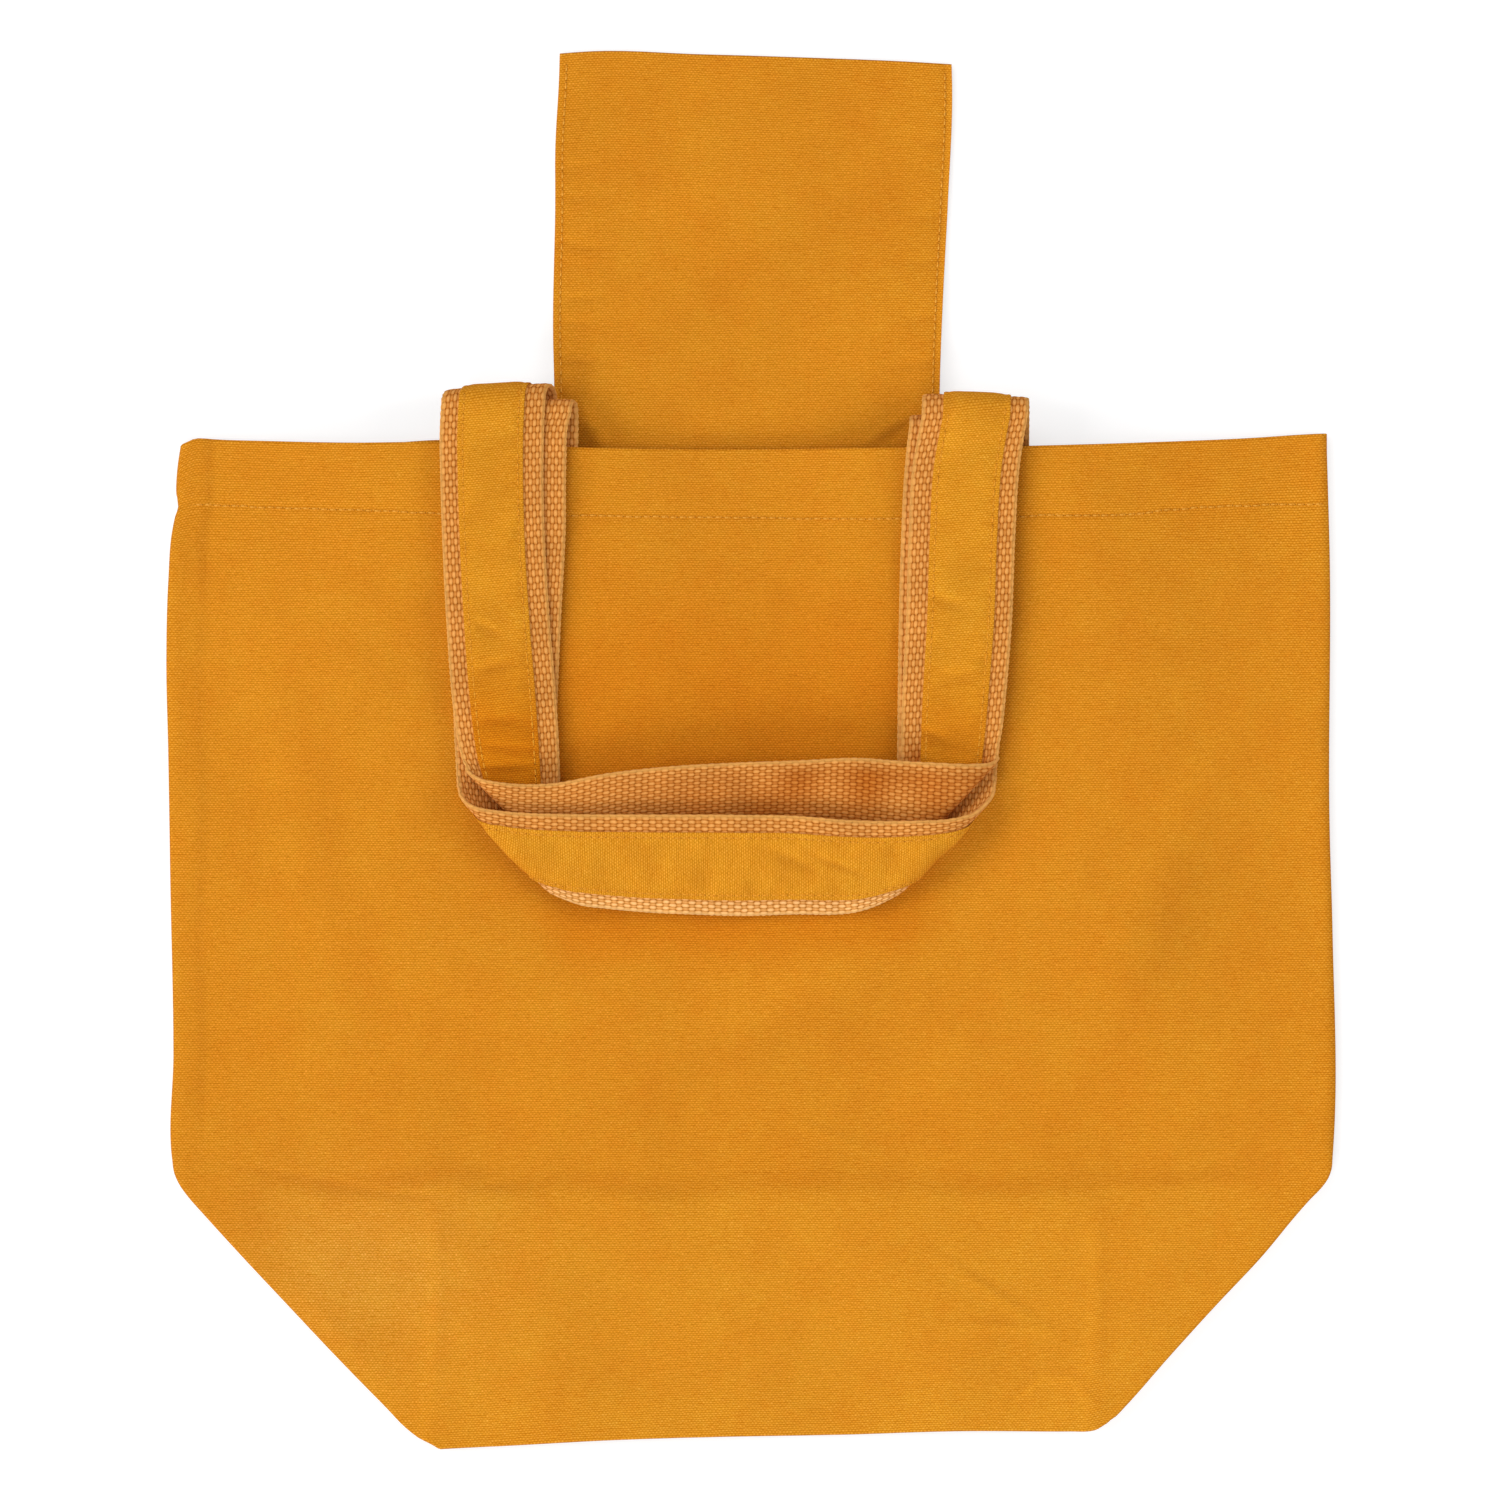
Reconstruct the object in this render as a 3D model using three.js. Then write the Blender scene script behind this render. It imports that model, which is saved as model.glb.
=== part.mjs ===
import * as THREE from 'three';

// Shopper bag of dyed cotton canvas, lying flat on its back panel, in millimetres.
// +X runs to the right, +Y from the folded base towards the mouth, +Z up from the surface.
// The boxed base is tucked up inside, and both webbing handles are folded down over the front.

// Cloth, webbing and thread
const CANVAS = 0.7;
const WEBBING = 1.8;
const THREAD_WIDTH = 0.6;
const THREAD_HEIGHT = 0.4;
const GAP = 0.3; // clearance between plies that lie on each other

// Body
const BODY_WIDTH = 411; // across the side folds, level with the top of the tucked base
const MOUTH_WIDTH = 405;
const BODY_HEIGHT = 351; // bottom fold to mouth
const BASE_DEPTH = 177; // front to back when the base is opened out
const HEM_DEPTH = 26; // cloth turned in at the mouth
const HEM_STITCH_INSET = 2; // from the turned edge to its row of stitches
const SIDE_SEAM_WIDTH = 10;
const CORNER_SEAM_WIDTH = 10;
const CORNER_SEAM_HEIGHT = 1.4;
const INNER_SPACE = 5; // open height left between the handle ends inside the mouth
const CROWN_MARGIN = 4; // flat cloth left outside the straps before the front slopes down
const CROWN_RUN = 90; // length of the slope from the tucked base up to the flat front
const CROWN_STEPS = 6;
const BASE_EDGE_RUN = 6; // flat cloth above the tucked base before that slope starts
const RIM_MARGIN = 1; // flat cloth between that slope and the side seam

// Flap
const FLAP_WIDTH = 140;
const FLAP_REACH = 138; // past the mouth
const FLAP_STITCH_INSET = 2;

// Handles
const WEBBING_WIDTH = 38;
const STRIP_WIDTH = 23; // canvas strip sewn along the outer face of the webbing
const BACK_STRAP_SPACING = 169; // between the middles of the back handle's two ends
const STRAP_STAGGER = 6; // the front handle's ends lie this far inside the back handle's
const STRAP_SHIFT = -6.3; // both handles sit a little left of the middle
const ARCH_SPACING = 155.6; // between the middles of both handles' straps, down at the arches
const ARCH_SHIFT = -7.9; // the arches lie a little further left
const BACK_DROP = 131; // mouth to the middle of the back handle's folded-down arch
const ARCH_STAGGER = 16; // the front handle's arch lies this far below the back handle's
const BEND_RISE = 20; // the straps' bends stand this far past the mouth
const TAIL_FLAT = 1; // a back strap leaves the mouth this far before it rises to its bend
const BEND_STEPS = 10;

// Colours
const CANVAS_COLOUR = 0xda8b1f;
const FLAP_COLOUR = 0xd88a23;
const WEBBING_COLOUR = 0xd08a3c;
const THREAD_COLOUR = 0xe3a23a;

// Places along the bag. The origin is the middle of the whole length.
const BOTTOM_Y = -(BODY_HEIGHT + FLAP_REACH) / 2;
const MOUTH_Y = BOTTOM_Y + BODY_HEIGHT;
const FLAP_END_Y = MOUTH_Y + FLAP_REACH;
const BASE_FOLD_Y = BOTTOM_Y + BASE_DEPTH / 2;
const HEM_Y = MOUTH_Y - HEM_DEPTH;
const HEM_STITCH_Y = HEM_Y + HEM_STITCH_INSET;
const SLOPE_START_Y = BASE_FOLD_Y + BASE_EDGE_RUN;
const SLOPE_END_Y = SLOPE_START_Y + CROWN_RUN;
const BACK_ARCH_Y = MOUTH_Y - BACK_DROP;
const FRONT_ARCH_Y = BACK_ARCH_Y - ARCH_STAGGER;
const BASE_HALF = (BODY_WIDTH - BASE_DEPTH) / 2;
const STRAP_HALF = WEBBING_WIDTH / 2;
const BACK_STRAP_HALF_SPACING = BACK_STRAP_SPACING / 2;
const FRONT_STRAP_HALF_SPACING = BACK_STRAP_HALF_SPACING - STRAP_STAGGER;
const FLAT_HALF = BACK_STRAP_HALF_SPACING + Math.abs(STRAP_SHIFT) + STRAP_HALF + CROWN_MARGIN;
const RIM_INNER = MOUTH_WIDTH / 2 - SIDE_SEAM_WIDTH - RIM_MARGIN;

// Heights in the stack, each the underside of a ply, from the surface up.
const FIRST_PLY_Z = CANVAS + GAP; // on the back panel: hem, base and gussets
const SECOND_PLY_Z = FIRST_PLY_Z + CANVAS + GAP;
const FLAP_LOWER_Z = SECOND_PLY_Z + THREAD_HEIGHT + GAP;
const FLAP_UPPER_Z = FLAP_LOWER_Z + CANVAS + GAP;
const FLAP_TOP_Z = FLAP_UPPER_Z + CANVAS;
const BACK_TAIL_Z = FLAP_TOP_Z + GAP;
const FRONT_TAIL_Z = BACK_TAIL_Z + WEBBING + INNER_SPACE;
const CROWN_Z = FRONT_TAIL_Z + WEBBING + GAP + CANVAS + GAP; // the front panel over the straps' ends
const FRONT_BASE_Z = SECOND_PLY_Z + CORNER_SEAM_HEIGHT + GAP;
const RIM_Z = FRONT_BASE_Z + CANVAS + GAP; // the front panel along its edges
const HEM_STITCH_Z = CROWN_Z + CANVAS + GAP;
const STRIP_OFFSET = WEBBING / 2 + GAP; // webbing's middle to the near face of its canvas strip
const STRIP_REACH = STRIP_OFFSET + CANVAS;
const FRONT_STRAP_Z = HEM_STITCH_Z + THREAD_HEIGHT + GAP + STRIP_REACH;
const BACK_STRAP_Z = FRONT_STRAP_Z + WEBBING + GAP;
const BACK_ARCH_Z = BACK_STRAP_Z + 2 * STRIP_REACH + GAP;
const FRONT_ARCH_Z = BACK_ARCH_Z + WEBBING + GAP;
const FRONT_TAIL_MIDDLE_Z = FRONT_TAIL_Z + WEBBING / 2;
const BACK_TAIL_MIDDLE_Z = BACK_TAIL_Z + WEBBING / 2;

// The two straps on a side bend round one line, and the flap folds over them about it too.
const BEND_Z = (FRONT_TAIL_MIDDLE_Z + FRONT_STRAP_Z) / 2;
const FRONT_BEND_RADIUS = FRONT_STRAP_Z - BEND_Z;
const BACK_BEND_RADIUS = BACK_STRAP_Z - BEND_Z;
const BEND_Y = MOUTH_Y + BEND_RISE - BACK_BEND_RADIUS - STRIP_REACH;

function material(colour, roughness) {
  return new THREE.MeshStandardMaterial({ color: colour, roughness, metalness: 0 });
}

const canvas = () => material(CANVAS_COLOUR, 0.95);
const flapCanvas = () => material(FLAP_COLOUR, 0.95);
const webbing = () => material(WEBBING_COLOUR, 0.9);
const thread = () => material(THREAD_COLOUR, 0.8);

function piece(name, geometry, finish) {
  const mesh = new THREE.Mesh(geometry, finish);
  mesh.name = name;
  return mesh;
}

// A flat ply cut to an outline of [x, y] points.
function ply(name, outline, z, thickness, finish) {
  const shape = new THREE.Shape(outline.map(([x, y]) => new THREE.Vector2(x, y)));
  const geometry = new THREE.ExtrudeGeometry(shape, { depth: thickness, bevelEnabled: false });
  const mesh = piece(name, geometry, finish);
  mesh.position.z = z;
  return mesh;
}

function rectangle(left, right, low, high) {
  return [
    [left, low],
    [right, low],
    [right, high],
    [left, high],
  ];
}

// Turns a closed mesh's faces outwards.
function facingOut(positions, triangles) {
  const corner = (i) => new THREE.Vector3().fromArray(positions, i * 3);
  let volume = 0;
  for (let i = 0; i < triangles.length; i += 3) {
    const [a, b, c] = [triangles[i], triangles[i + 1], triangles[i + 2]].map(corner);
    volume += a.dot(b.cross(c));
  }
  if (volume < 0) {
    triangles.reverse();
  }
  const geometry = new THREE.BufferGeometry();
  geometry.setAttribute('position', new THREE.Float32BufferAttribute(positions, 3));
  geometry.setIndex(triangles);
  geometry.computeVertexNormals();
  return geometry;
}

// A strip of constant section laid through a list of stations. A section point [u, v] lies at
// point + u * across + v * normal.
function sweep(section, stations) {
  const positions = [];
  for (const { point, across, normal } of stations) {
    for (const [u, v] of section) {
      const corner = point.clone().addScaledVector(across, u).addScaledVector(normal, v);
      positions.push(corner.x, corner.y, corner.z);
    }
  }
  const sides = section.length;
  const triangles = [];
  for (let s = 0; s + 1 < stations.length; s += 1) {
    for (let i = 0; i < sides; i += 1) {
      const near = s * sides + i;
      const beside = s * sides + ((i + 1) % sides);
      triangles.push(near, beside, beside + sides, near, beside + sides, near + sides);
    }
  }
  const flat = section.map(([u, v]) => new THREE.Vector2(u, v));
  const last = (stations.length - 1) * sides;
  for (const [a, b, c] of THREE.ShapeUtils.triangulateShape(flat, [])) {
    triangles.push(c, b, a, last + a, last + b, last + c);
  }
  return facingOut(positions, triangles);
}

// A curved ply between rows of [x, y, z] points on its underside.
function curvedPly(rows, thickness) {
  const columns = rows[0].length;
  const positions = [];
  for (const lift of [0, thickness]) {
    for (const row of rows) {
      for (const [x, y, z] of row) {
        positions.push(x, y, z + lift);
      }
    }
  }
  const top = rows.length * columns;
  const triangles = [];
  for (let r = 0; r + 1 < rows.length; r += 1) {
    for (let c = 0; c + 1 < columns; c += 1) {
      const a = r * columns + c;
      const b = a + columns;
      triangles.push(a, b, b + 1, a, b + 1, a + 1);
      triangles.push(top + a, top + b + 1, top + b, top + a, top + a + 1, top + b + 1);
    }
  }
  const edge = [];
  for (let c = 0; c < columns - 1; c += 1) edge.push(c);
  for (let r = 0; r < rows.length - 1; r += 1) edge.push(r * columns + columns - 1);
  for (let c = columns - 1; c > 0; c -= 1) edge.push((rows.length - 1) * columns + c);
  for (let r = rows.length - 1; r > 0; r -= 1) edge.push(r * columns);
  edge.forEach((a, i) => {
    const b = edge[(i + 1) % edge.length];
    triangles.push(a, b, top + b, a, top + b, top + a);
  });
  return facingOut(positions, triangles);
}

const smooth = (t) => THREE.MathUtils.smoothstep(t, 0, 1);

// Half the body's width: the sides lean in to the mouth, and below the fold they cut in at 45 degrees.
function bodyHalfWidth(y) {
  const widest = BODY_WIDTH / 2;
  if (y < BASE_FOLD_Y) {
    return widest - (BASE_FOLD_Y - y);
  }
  return THREE.MathUtils.mapLinear(y, BASE_FOLD_Y, MOUTH_Y, widest, MOUTH_WIDTH / 2);
}

// The front panel's underside stands on the rim at its edges and on the straps' ends in the middle.
function frontHeight(x, y) {
  const fromSide = smooth((RIM_INNER - Math.abs(x)) / (RIM_INNER - FLAT_HALF));
  const fromBase = smooth((y - SLOPE_START_Y) / (SLOPE_END_Y - SLOPE_START_Y));
  return RIM_Z + (CROWN_Z - RIM_Z) * fromSide * fromBase;
}

// Places across the front, the same at every height above the base, so that plies stay parallel.
function frontColumns(y) {
  const halfWidth = bodyHalfWidth(y);
  const squeeze = Math.min(1, halfWidth / bodyHalfWidth(BASE_FOLD_Y));
  const half = [];
  for (let i = 0; i <= CROWN_STEPS; i += 1) {
    half.push(THREE.MathUtils.lerp(FLAT_HALF, RIM_INNER, i / CROWN_STEPS));
  }
  const right = y < BASE_FOLD_Y ? half.map((x) => x * squeeze) : half;
  right.push(halfWidth);
  return [...right.map((x) => -x).reverse(), 0, ...right];
}

function frontRow(y, below) {
  return frontColumns(y).map((x) => [x, y, frontHeight(x, y) - below]);
}

function backPanel() {
  const outline = [
    [-BASE_HALF, BOTTOM_Y],
    [BASE_HALF, BOTTOM_Y],
    [BODY_WIDTH / 2, BASE_FOLD_Y],
    [MOUTH_WIDTH / 2, MOUTH_Y],
    [-MOUTH_WIDTH / 2, MOUTH_Y],
    [-BODY_WIDTH / 2, BASE_FOLD_Y],
  ];
  return ply('back_panel', outline, 0, CANVAS, canvas());
}

function backHem() {
  const low = bodyHalfWidth(HEM_Y);
  const high = bodyHalfWidth(MOUTH_Y);
  const outline = [
    [-low, HEM_Y],
    [low, HEM_Y],
    [high, MOUTH_Y],
    [-high, MOUTH_Y],
  ];
  return ply('back_hem', outline, FIRST_PLY_Z, CANVAS, canvas());
}

function backHemStitch() {
  const half = bodyHalfWidth(HEM_STITCH_Y);
  const row = rectangle(-half, half, HEM_STITCH_Y - THREAD_WIDTH / 2, HEM_STITCH_Y + THREAD_WIDTH / 2);
  return ply('back_hem_stitch', row, SECOND_PLY_Z, THREAD_HEIGHT, thread());
}

function frontPanel() {
  const rows = [frontRow(BOTTOM_Y, 0), frontRow(BASE_FOLD_Y, 0)];
  for (let i = 0; i <= CROWN_STEPS; i += 1) {
    rows.push(frontRow(THREE.MathUtils.lerp(SLOPE_START_Y, SLOPE_END_Y, i / CROWN_STEPS), 0));
  }
  rows.push(frontRow(MOUTH_Y, 0));
  return piece('front_panel', curvedPly(rows, CANVAS), canvas());
}

function frontHem() {
  const rows = [frontRow(HEM_Y, GAP + CANVAS), frontRow(MOUTH_Y, GAP + CANVAS)];
  return piece('front_hem', curvedPly(rows, CANVAS), canvas());
}

function frontHemStitch() {
  const low = frontRow(HEM_STITCH_Y - THREAD_WIDTH / 2, -CANVAS - GAP);
  const high = frontRow(HEM_STITCH_Y + THREAD_WIDTH / 2, -CANVAS - GAP);
  return piece('front_hem_stitch', curvedPly([low, high], THREAD_HEIGHT), thread());
}

// The seam allowance inside each side, which keeps the two panels' edges together.
function sideSeam(name, side) {
  const low = BASE_FOLD_Y + GAP;
  const high = HEM_Y - GAP;
  const outline = [
    [side * bodyHalfWidth(low), low],
    [side * bodyHalfWidth(high), high],
    [side * (bodyHalfWidth(high) - SIDE_SEAM_WIDTH), high],
    [side * (bodyHalfWidth(low) - SIDE_SEAM_WIDTH), low],
  ];
  return ply(name, outline, FIRST_PLY_Z, RIM_Z - GAP - FIRST_PLY_Z, canvas());
}

// Half of the base, folded up inside against its panel.
function baseHalf(name, z) {
  const half = BASE_HALF - GAP;
  return ply(name, rectangle(-half, half, BOTTOM_Y, BASE_FOLD_Y), z, CANVAS, canvas());
}

// The corner of a side, folded in behind the 45-degree edge.
function gusset(name, side, z) {
  const outline = [
    [side * BASE_HALF, BOTTOM_Y],
    [(side * BODY_WIDTH) / 2, BASE_FOLD_Y],
    [side * BASE_HALF, BASE_FOLD_Y],
  ];
  return ply(name, outline, z, CANVAS, canvas());
}

// The seam that joins an end of the base to its side.
function cornerSeam(name, side) {
  const outer = side * BASE_HALF;
  const inner = side * (BASE_HALF - CORNER_SEAM_WIDTH);
  const outline = rectangle(Math.min(outer, inner), Math.max(outer, inner), BOTTOM_Y, BASE_FOLD_Y);
  return ply(name, outline, SECOND_PLY_Z, CORNER_SEAM_HEIGHT, canvas());
}

function flapPly(name, z) {
  const half = FLAP_WIDTH / 2;
  return ply(name, rectangle(-half, half, BEND_Y, FLAP_END_Y), z, CANVAS, flapCanvas());
}

// The flap's doubled end, sewn inside the back hem.
function flapRoot() {
  const half = FLAP_WIDTH / 2;
  const outline = rectangle(-half, half, HEM_Y, BEND_Y - GAP);
  return ply('flap_root', outline, FLAP_LOWER_Z, FLAP_TOP_Z - FLAP_LOWER_Z, flapCanvas());
}

function flapStitch(name, side) {
  const middle = side * (FLAP_WIDTH / 2 - FLAP_STITCH_INSET);
  const row = rectangle(middle - THREAD_WIDTH / 2, middle + THREAD_WIDTH / 2, BEND_Y, FLAP_END_Y);
  return ply(name, row, FLAP_TOP_Z + GAP, THREAD_HEIGHT, thread());
}

const WEBBING_SECTION = rectangle(-STRAP_HALF, STRAP_HALF, -WEBBING / 2, WEBBING / 2);
const STRIP_SECTION = rectangle(-STRIP_WIDTH / 2, STRIP_WIDTH / 2, STRIP_OFFSET, STRIP_REACH);

// Webbing and strip together, as one section of a strap where it bends.
const BEND_SECTION = [
  [-STRAP_HALF, -WEBBING / 2],
  [STRAP_HALF, -WEBBING / 2],
  [STRAP_HALF, WEBBING / 2],
  [STRIP_WIDTH / 2, WEBBING / 2],
  [STRIP_WIDTH / 2, STRIP_REACH],
  [-STRIP_WIDTH / 2, STRIP_REACH],
  [-STRIP_WIDTH / 2, WEBBING / 2],
  [-STRAP_HALF, WEBBING / 2],
];

const vector = (x, y, z) => new THREE.Vector3(x, y, z);

// The stations of a handle folded flat: down one strap, round a 45-degree fold, along the arch
// and back up. up is 1 where the canvas strip faces up on the straps, and -1 where it faces down.
function loopStations(halfSpacing, strapZ, archY, archZ, up) {
  const onStrap = vector(0, 0, up);
  const onArch = vector(0, 0, -up);
  const strapEnd = (side) => ({
    point: vector(STRAP_SHIFT + side * halfSpacing, BEND_Y - GAP, strapZ),
    across: vector(-side, 0, 0),
    normal: onStrap,
  });
  const fold = (side, z, plate) => ({
    point: vector(ARCH_SHIFT + (side * ARCH_SPACING) / 2, archY, z),
    across: vector(-side, -1, 0),
    normal: vector(side, -1, 0).normalize().multiplyScalar(-up).add(plate),
  });
  return [
    strapEnd(-1),
    fold(-1, strapZ, onStrap),
    fold(-1, archZ, onArch),
    fold(1, archZ, onArch),
    fold(1, strapZ, onStrap),
    strapEnd(1),
  ];
}

// The half turn of a strap past the mouth.
function bendStations(x, radius, up) {
  const stations = [];
  for (let i = 0; i <= BEND_STEPS; i += 1) {
    const angle = Math.PI * (i / BEND_STEPS - 0.5);
    const out = vector(0, Math.cos(angle), Math.sin(angle));
    stations.push({
      point: vector(x, BEND_Y, BEND_Z).addScaledVector(out, radius),
      across: vector(1, 0, 0),
      normal: out.multiplyScalar(up),
    });
  }
  return stations;
}

// The end of a strap, sewn inside the hem at height insideZ and leaving towards its bend.
function tailStations(x, insideZ, radius) {
  const path = [
    [HEM_Y, insideZ],
    [MOUTH_Y + TAIL_FLAT, insideZ],
    [BEND_Y - GAP, BEND_Z - radius],
  ];
  const upright = vector(0, 0, 1);
  return path.map(([y, z]) => ({ point: vector(x, y, z), across: vector(1, 0, 0), normal: upright }));
}

function handle(name, { halfSpacing, strapZ, archY, archZ, tailZ, radius, up }) {
  const group = new THREE.Group();
  const loop = loopStations(halfSpacing, strapZ, archY, archZ, up);
  group.add(piece(`${name}_webbing_loop`, sweep(WEBBING_SECTION, loop), webbing()));
  group.add(piece(`${name}_strip_loop`, sweep(STRIP_SECTION, loop), canvas()));
  for (const [word, side] of [
    ['left', -1],
    ['right', 1],
  ]) {
    const x = STRAP_SHIFT + side * halfSpacing;
    const bend = sweep(BEND_SECTION, bendStations(x, radius, up));
    const tail = sweep(WEBBING_SECTION, tailStations(x, tailZ, radius));
    group.add(piece(`${name}_bend_${word}`, bend, webbing()));
    group.add(piece(`${name}_tail_${word}`, tail, webbing()));
  }
  return group;
}

function body() {
  const group = new THREE.Group();
  group.add(backPanel(), backHem(), backHemStitch(), frontPanel(), frontHem(), frontHemStitch());
  group.add(baseHalf('base_back', FIRST_PLY_Z), baseHalf('base_front', FRONT_BASE_Z));
  for (const [word, side] of [
    ['left', -1],
    ['right', 1],
  ]) {
    group.add(sideSeam(`side_seam_${word}`, side), cornerSeam(`corner_seam_${word}`, side));
    group.add(gusset(`gusset_back_${word}`, side, FIRST_PLY_Z));
    group.add(gusset(`gusset_front_${word}`, side, FRONT_BASE_Z));
  }
  return group;
}

function flap() {
  const group = new THREE.Group();
  group.add(flapRoot(), flapPly('flap_lower_ply', FLAP_LOWER_Z), flapPly('flap_upper_ply', FLAP_UPPER_Z));
  group.add(flapStitch('flap_stitch_left', -1), flapStitch('flap_stitch_right', 1));
  return group;
}

const bag = new THREE.Group();
bag.add(body(), flap());
bag.add(
  handle('front', {
    halfSpacing: FRONT_STRAP_HALF_SPACING,
    strapZ: FRONT_STRAP_Z,
    archY: FRONT_ARCH_Y,
    archZ: FRONT_ARCH_Z,
    tailZ: FRONT_TAIL_MIDDLE_Z,
    radius: FRONT_BEND_RADIUS,
    up: -1,
  }),
);
bag.add(
  handle('back', {
    halfSpacing: BACK_STRAP_HALF_SPACING,
    strapZ: BACK_STRAP_Z,
    archY: BACK_ARCH_Y,
    archZ: BACK_ARCH_Z,
    tailZ: BACK_TAIL_MIDDLE_Z,
    radius: BACK_BEND_RADIUS,
    up: 1,
  }),
);

export default bag;
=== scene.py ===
import math

import bpy
import numpy as np
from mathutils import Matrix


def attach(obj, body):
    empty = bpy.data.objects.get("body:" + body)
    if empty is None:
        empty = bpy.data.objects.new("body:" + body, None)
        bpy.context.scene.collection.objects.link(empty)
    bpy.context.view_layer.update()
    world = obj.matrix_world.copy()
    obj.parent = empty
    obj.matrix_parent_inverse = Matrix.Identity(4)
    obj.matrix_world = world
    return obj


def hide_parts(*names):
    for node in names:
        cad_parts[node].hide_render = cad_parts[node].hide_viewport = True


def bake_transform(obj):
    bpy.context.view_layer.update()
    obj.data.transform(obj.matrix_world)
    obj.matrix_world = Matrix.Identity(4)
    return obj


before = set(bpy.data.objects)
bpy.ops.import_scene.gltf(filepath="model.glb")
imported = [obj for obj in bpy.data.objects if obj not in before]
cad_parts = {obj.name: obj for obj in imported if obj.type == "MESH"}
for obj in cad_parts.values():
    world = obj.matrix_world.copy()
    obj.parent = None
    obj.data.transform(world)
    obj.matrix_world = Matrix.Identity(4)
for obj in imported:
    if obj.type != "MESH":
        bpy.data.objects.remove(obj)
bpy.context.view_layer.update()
scene = bpy.context.scene

# Places and sizes are in millimetres, in the frame of the CAD model, unless a comment says metres.
MM = 0.001

# View: straight down on the bag, as it was photographed
CAMERA_HEIGHT = 4000.0
VIEW_WIDTH = 531.0
VIEW_LEVEL = 5.0
SENSOR = 36.0

# Light and floor
AMBIENT = 0.38
FLOOR_GLOW = 0.66
FLOOR_GREY = 0.45
FLOOR_HALF = 6000.0
FLOOR_DROP = 0.4

# Cloth
CANVAS = 0.7
WEBBING = 1.8
STRAP_WIDTH = 37.3
FOLD_RADIUS = 0.5

# Body
BOTTOM_Y = -244.0
MOUTH_Y = 106.2
HEM_DEPTH = 26.0
BASE_FOLD_Y = -156.0
BASE_HALF = 117.0
BASE_CLEAR = 0.4
BASE_INSET = 3.4
RIM_Z = 5.05
CROWN_Z = 14.95
FLAT_HALF = 113.8
RIM_INNER = 191.5
SLOPE_START_Y = -150.0
SLOPE_END_Y = -60.0
BACK_Z = 0.37
PLY_MIDDLE = 2.7
PLY_HALF = 1.35

# Sag of the front's mouth between the handles
SAG = 4.5
SAG_MIDDLE_X = -6.0
SAG_HALF = 56.0
SAG_EASE = 50.0
SAG_START_Y = 20.0
SAG_LONG = 88.0

# Turned edges, seams and folded-in corners. A lip is how far its edge turns over, then its inset.
FRONT_SIDE_DROP = 2.1
BACK_SIDE_DROP = 1.6
FOLD_DROP = 0.5
FOLD_ROLL = 1.2
SIDE_ROLL = 3.6
EDGE_CALM = 10.0
SEAM_INSET = 2.6
SEAM_ALLOWANCE = 10.0
SIDE_SEAM_RADIUS = 0.75
BASE_SEAM_RADIUS = 0.4
LIP_OUT = np.array([0, 0.28, 0.52, 0.66, 0.7])
LIP_TURN = np.array([0, 0.05, 0.2, 0.5, 1.0])
BACK_LIP = (2.65, 0.45)
FRONT_LIP = (3.4, 2.2)

# Spacing of the rows and columns of the cloth
EDGE_STEPS = np.array([0.0, 0.25, 0.6, 1.1, 1.8, 2.8, 4.2, 6.0])
MOUTH_STEPS = np.array([3.0, 2.0, 1.2, 0.5])
HEM_STEPS = np.array([1.0, 2.5, 5.0, 8.0, 12.0, 16.0, 20.0, 23.0, HEM_DEPTH])
CURL_STEPS = [0.15, 0.35, 0.7, 1.2, 2.0]
FLAP_EDGE_STEPS = np.array([0.0, 0.3, 0.8, 1.5, 2.5])
FRONT_STEP = 1.6
BACK_STEP = 2.5
FLAP_STEP = 2.2
STRAP_STEP = 1.15
PANEL_HALF = 200.0
FOLD_ROWS = 9

# Outline of the lying bag, as points of a smooth curve. Sides give x at each height.
LEFT_EDGE = [
    (-248, -109), (-245.6, -112.6), (-243.4, -117), (-241, -120.2), (-232, -129.2), (-214.3, -146.5),
    (-196.6, -163.2), (-178.9, -179.8), (-164, -193.4), (-158.5, -198.3), (-154.5, -201.3),
    (-150, -203.5), (-145, -204.3), (-108, -203.9), (-46, -205), (-2, -205.7), (33, -206.4),
    (60, -205.7), (77.7, -204.3), (83, -203.2), (86.6, -202.1), (90, -202.8), (96, -202.8),
    (101.3, -202.3), (107, -201.4),
]
RIGHT_EDGE = [
    (-241, 121.6), (-239.9, 124.6), (-236.4, 128.7), (-232, 132.9), (-214.3, 148.5), (-196.6, 164.6),
    (-178.9, 181.2), (-164, 193.6), (-158.6, 198.4), (-155.4, 201.6), (-152, 204.2), (-148.5, 205.6),
    (-144, 206), (-64, 206), (-28, 205), (69, 205), (106, 204),
]
BOTTOM_EDGE = [
    (-112, -247.4), (-88, -246.2), (-56, -244.4), (-14, -243), (39, -242), (71, -240.9),
    (113, -241), (120.5, -240.9), (125, -239.8),
]
TOP_EDGE = [
    (-203, 104.2), (-202.2, 106), (-201.3, 107.1), (-199, 108.3), (-196.5, 109.4), (-194, 109.5),
    (-190, 109.2), (-170, 108.5), (-140, 107.8), (-110, 108), (-56, 106), (53, 106), (103, 106.7),
    (145, 108.1), (177, 109.6), (198, 111), (205, 111.3),
]
HEM_STITCH = [
    (-199, 87), (-174, 85.9), (-139, 84.8), (-110, 83.5), (-56, 82.7), (0, 82), (53, 81.6), (103, 82.7),
    (136, 83.4), (149, 85), (170, 86.2), (202.5, 87.2),
]
EDGES = {-1: LEFT_EDGE, 1: RIGHT_EDGE}
SIDES = ((-1, "left"), (1, "right"))

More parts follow.
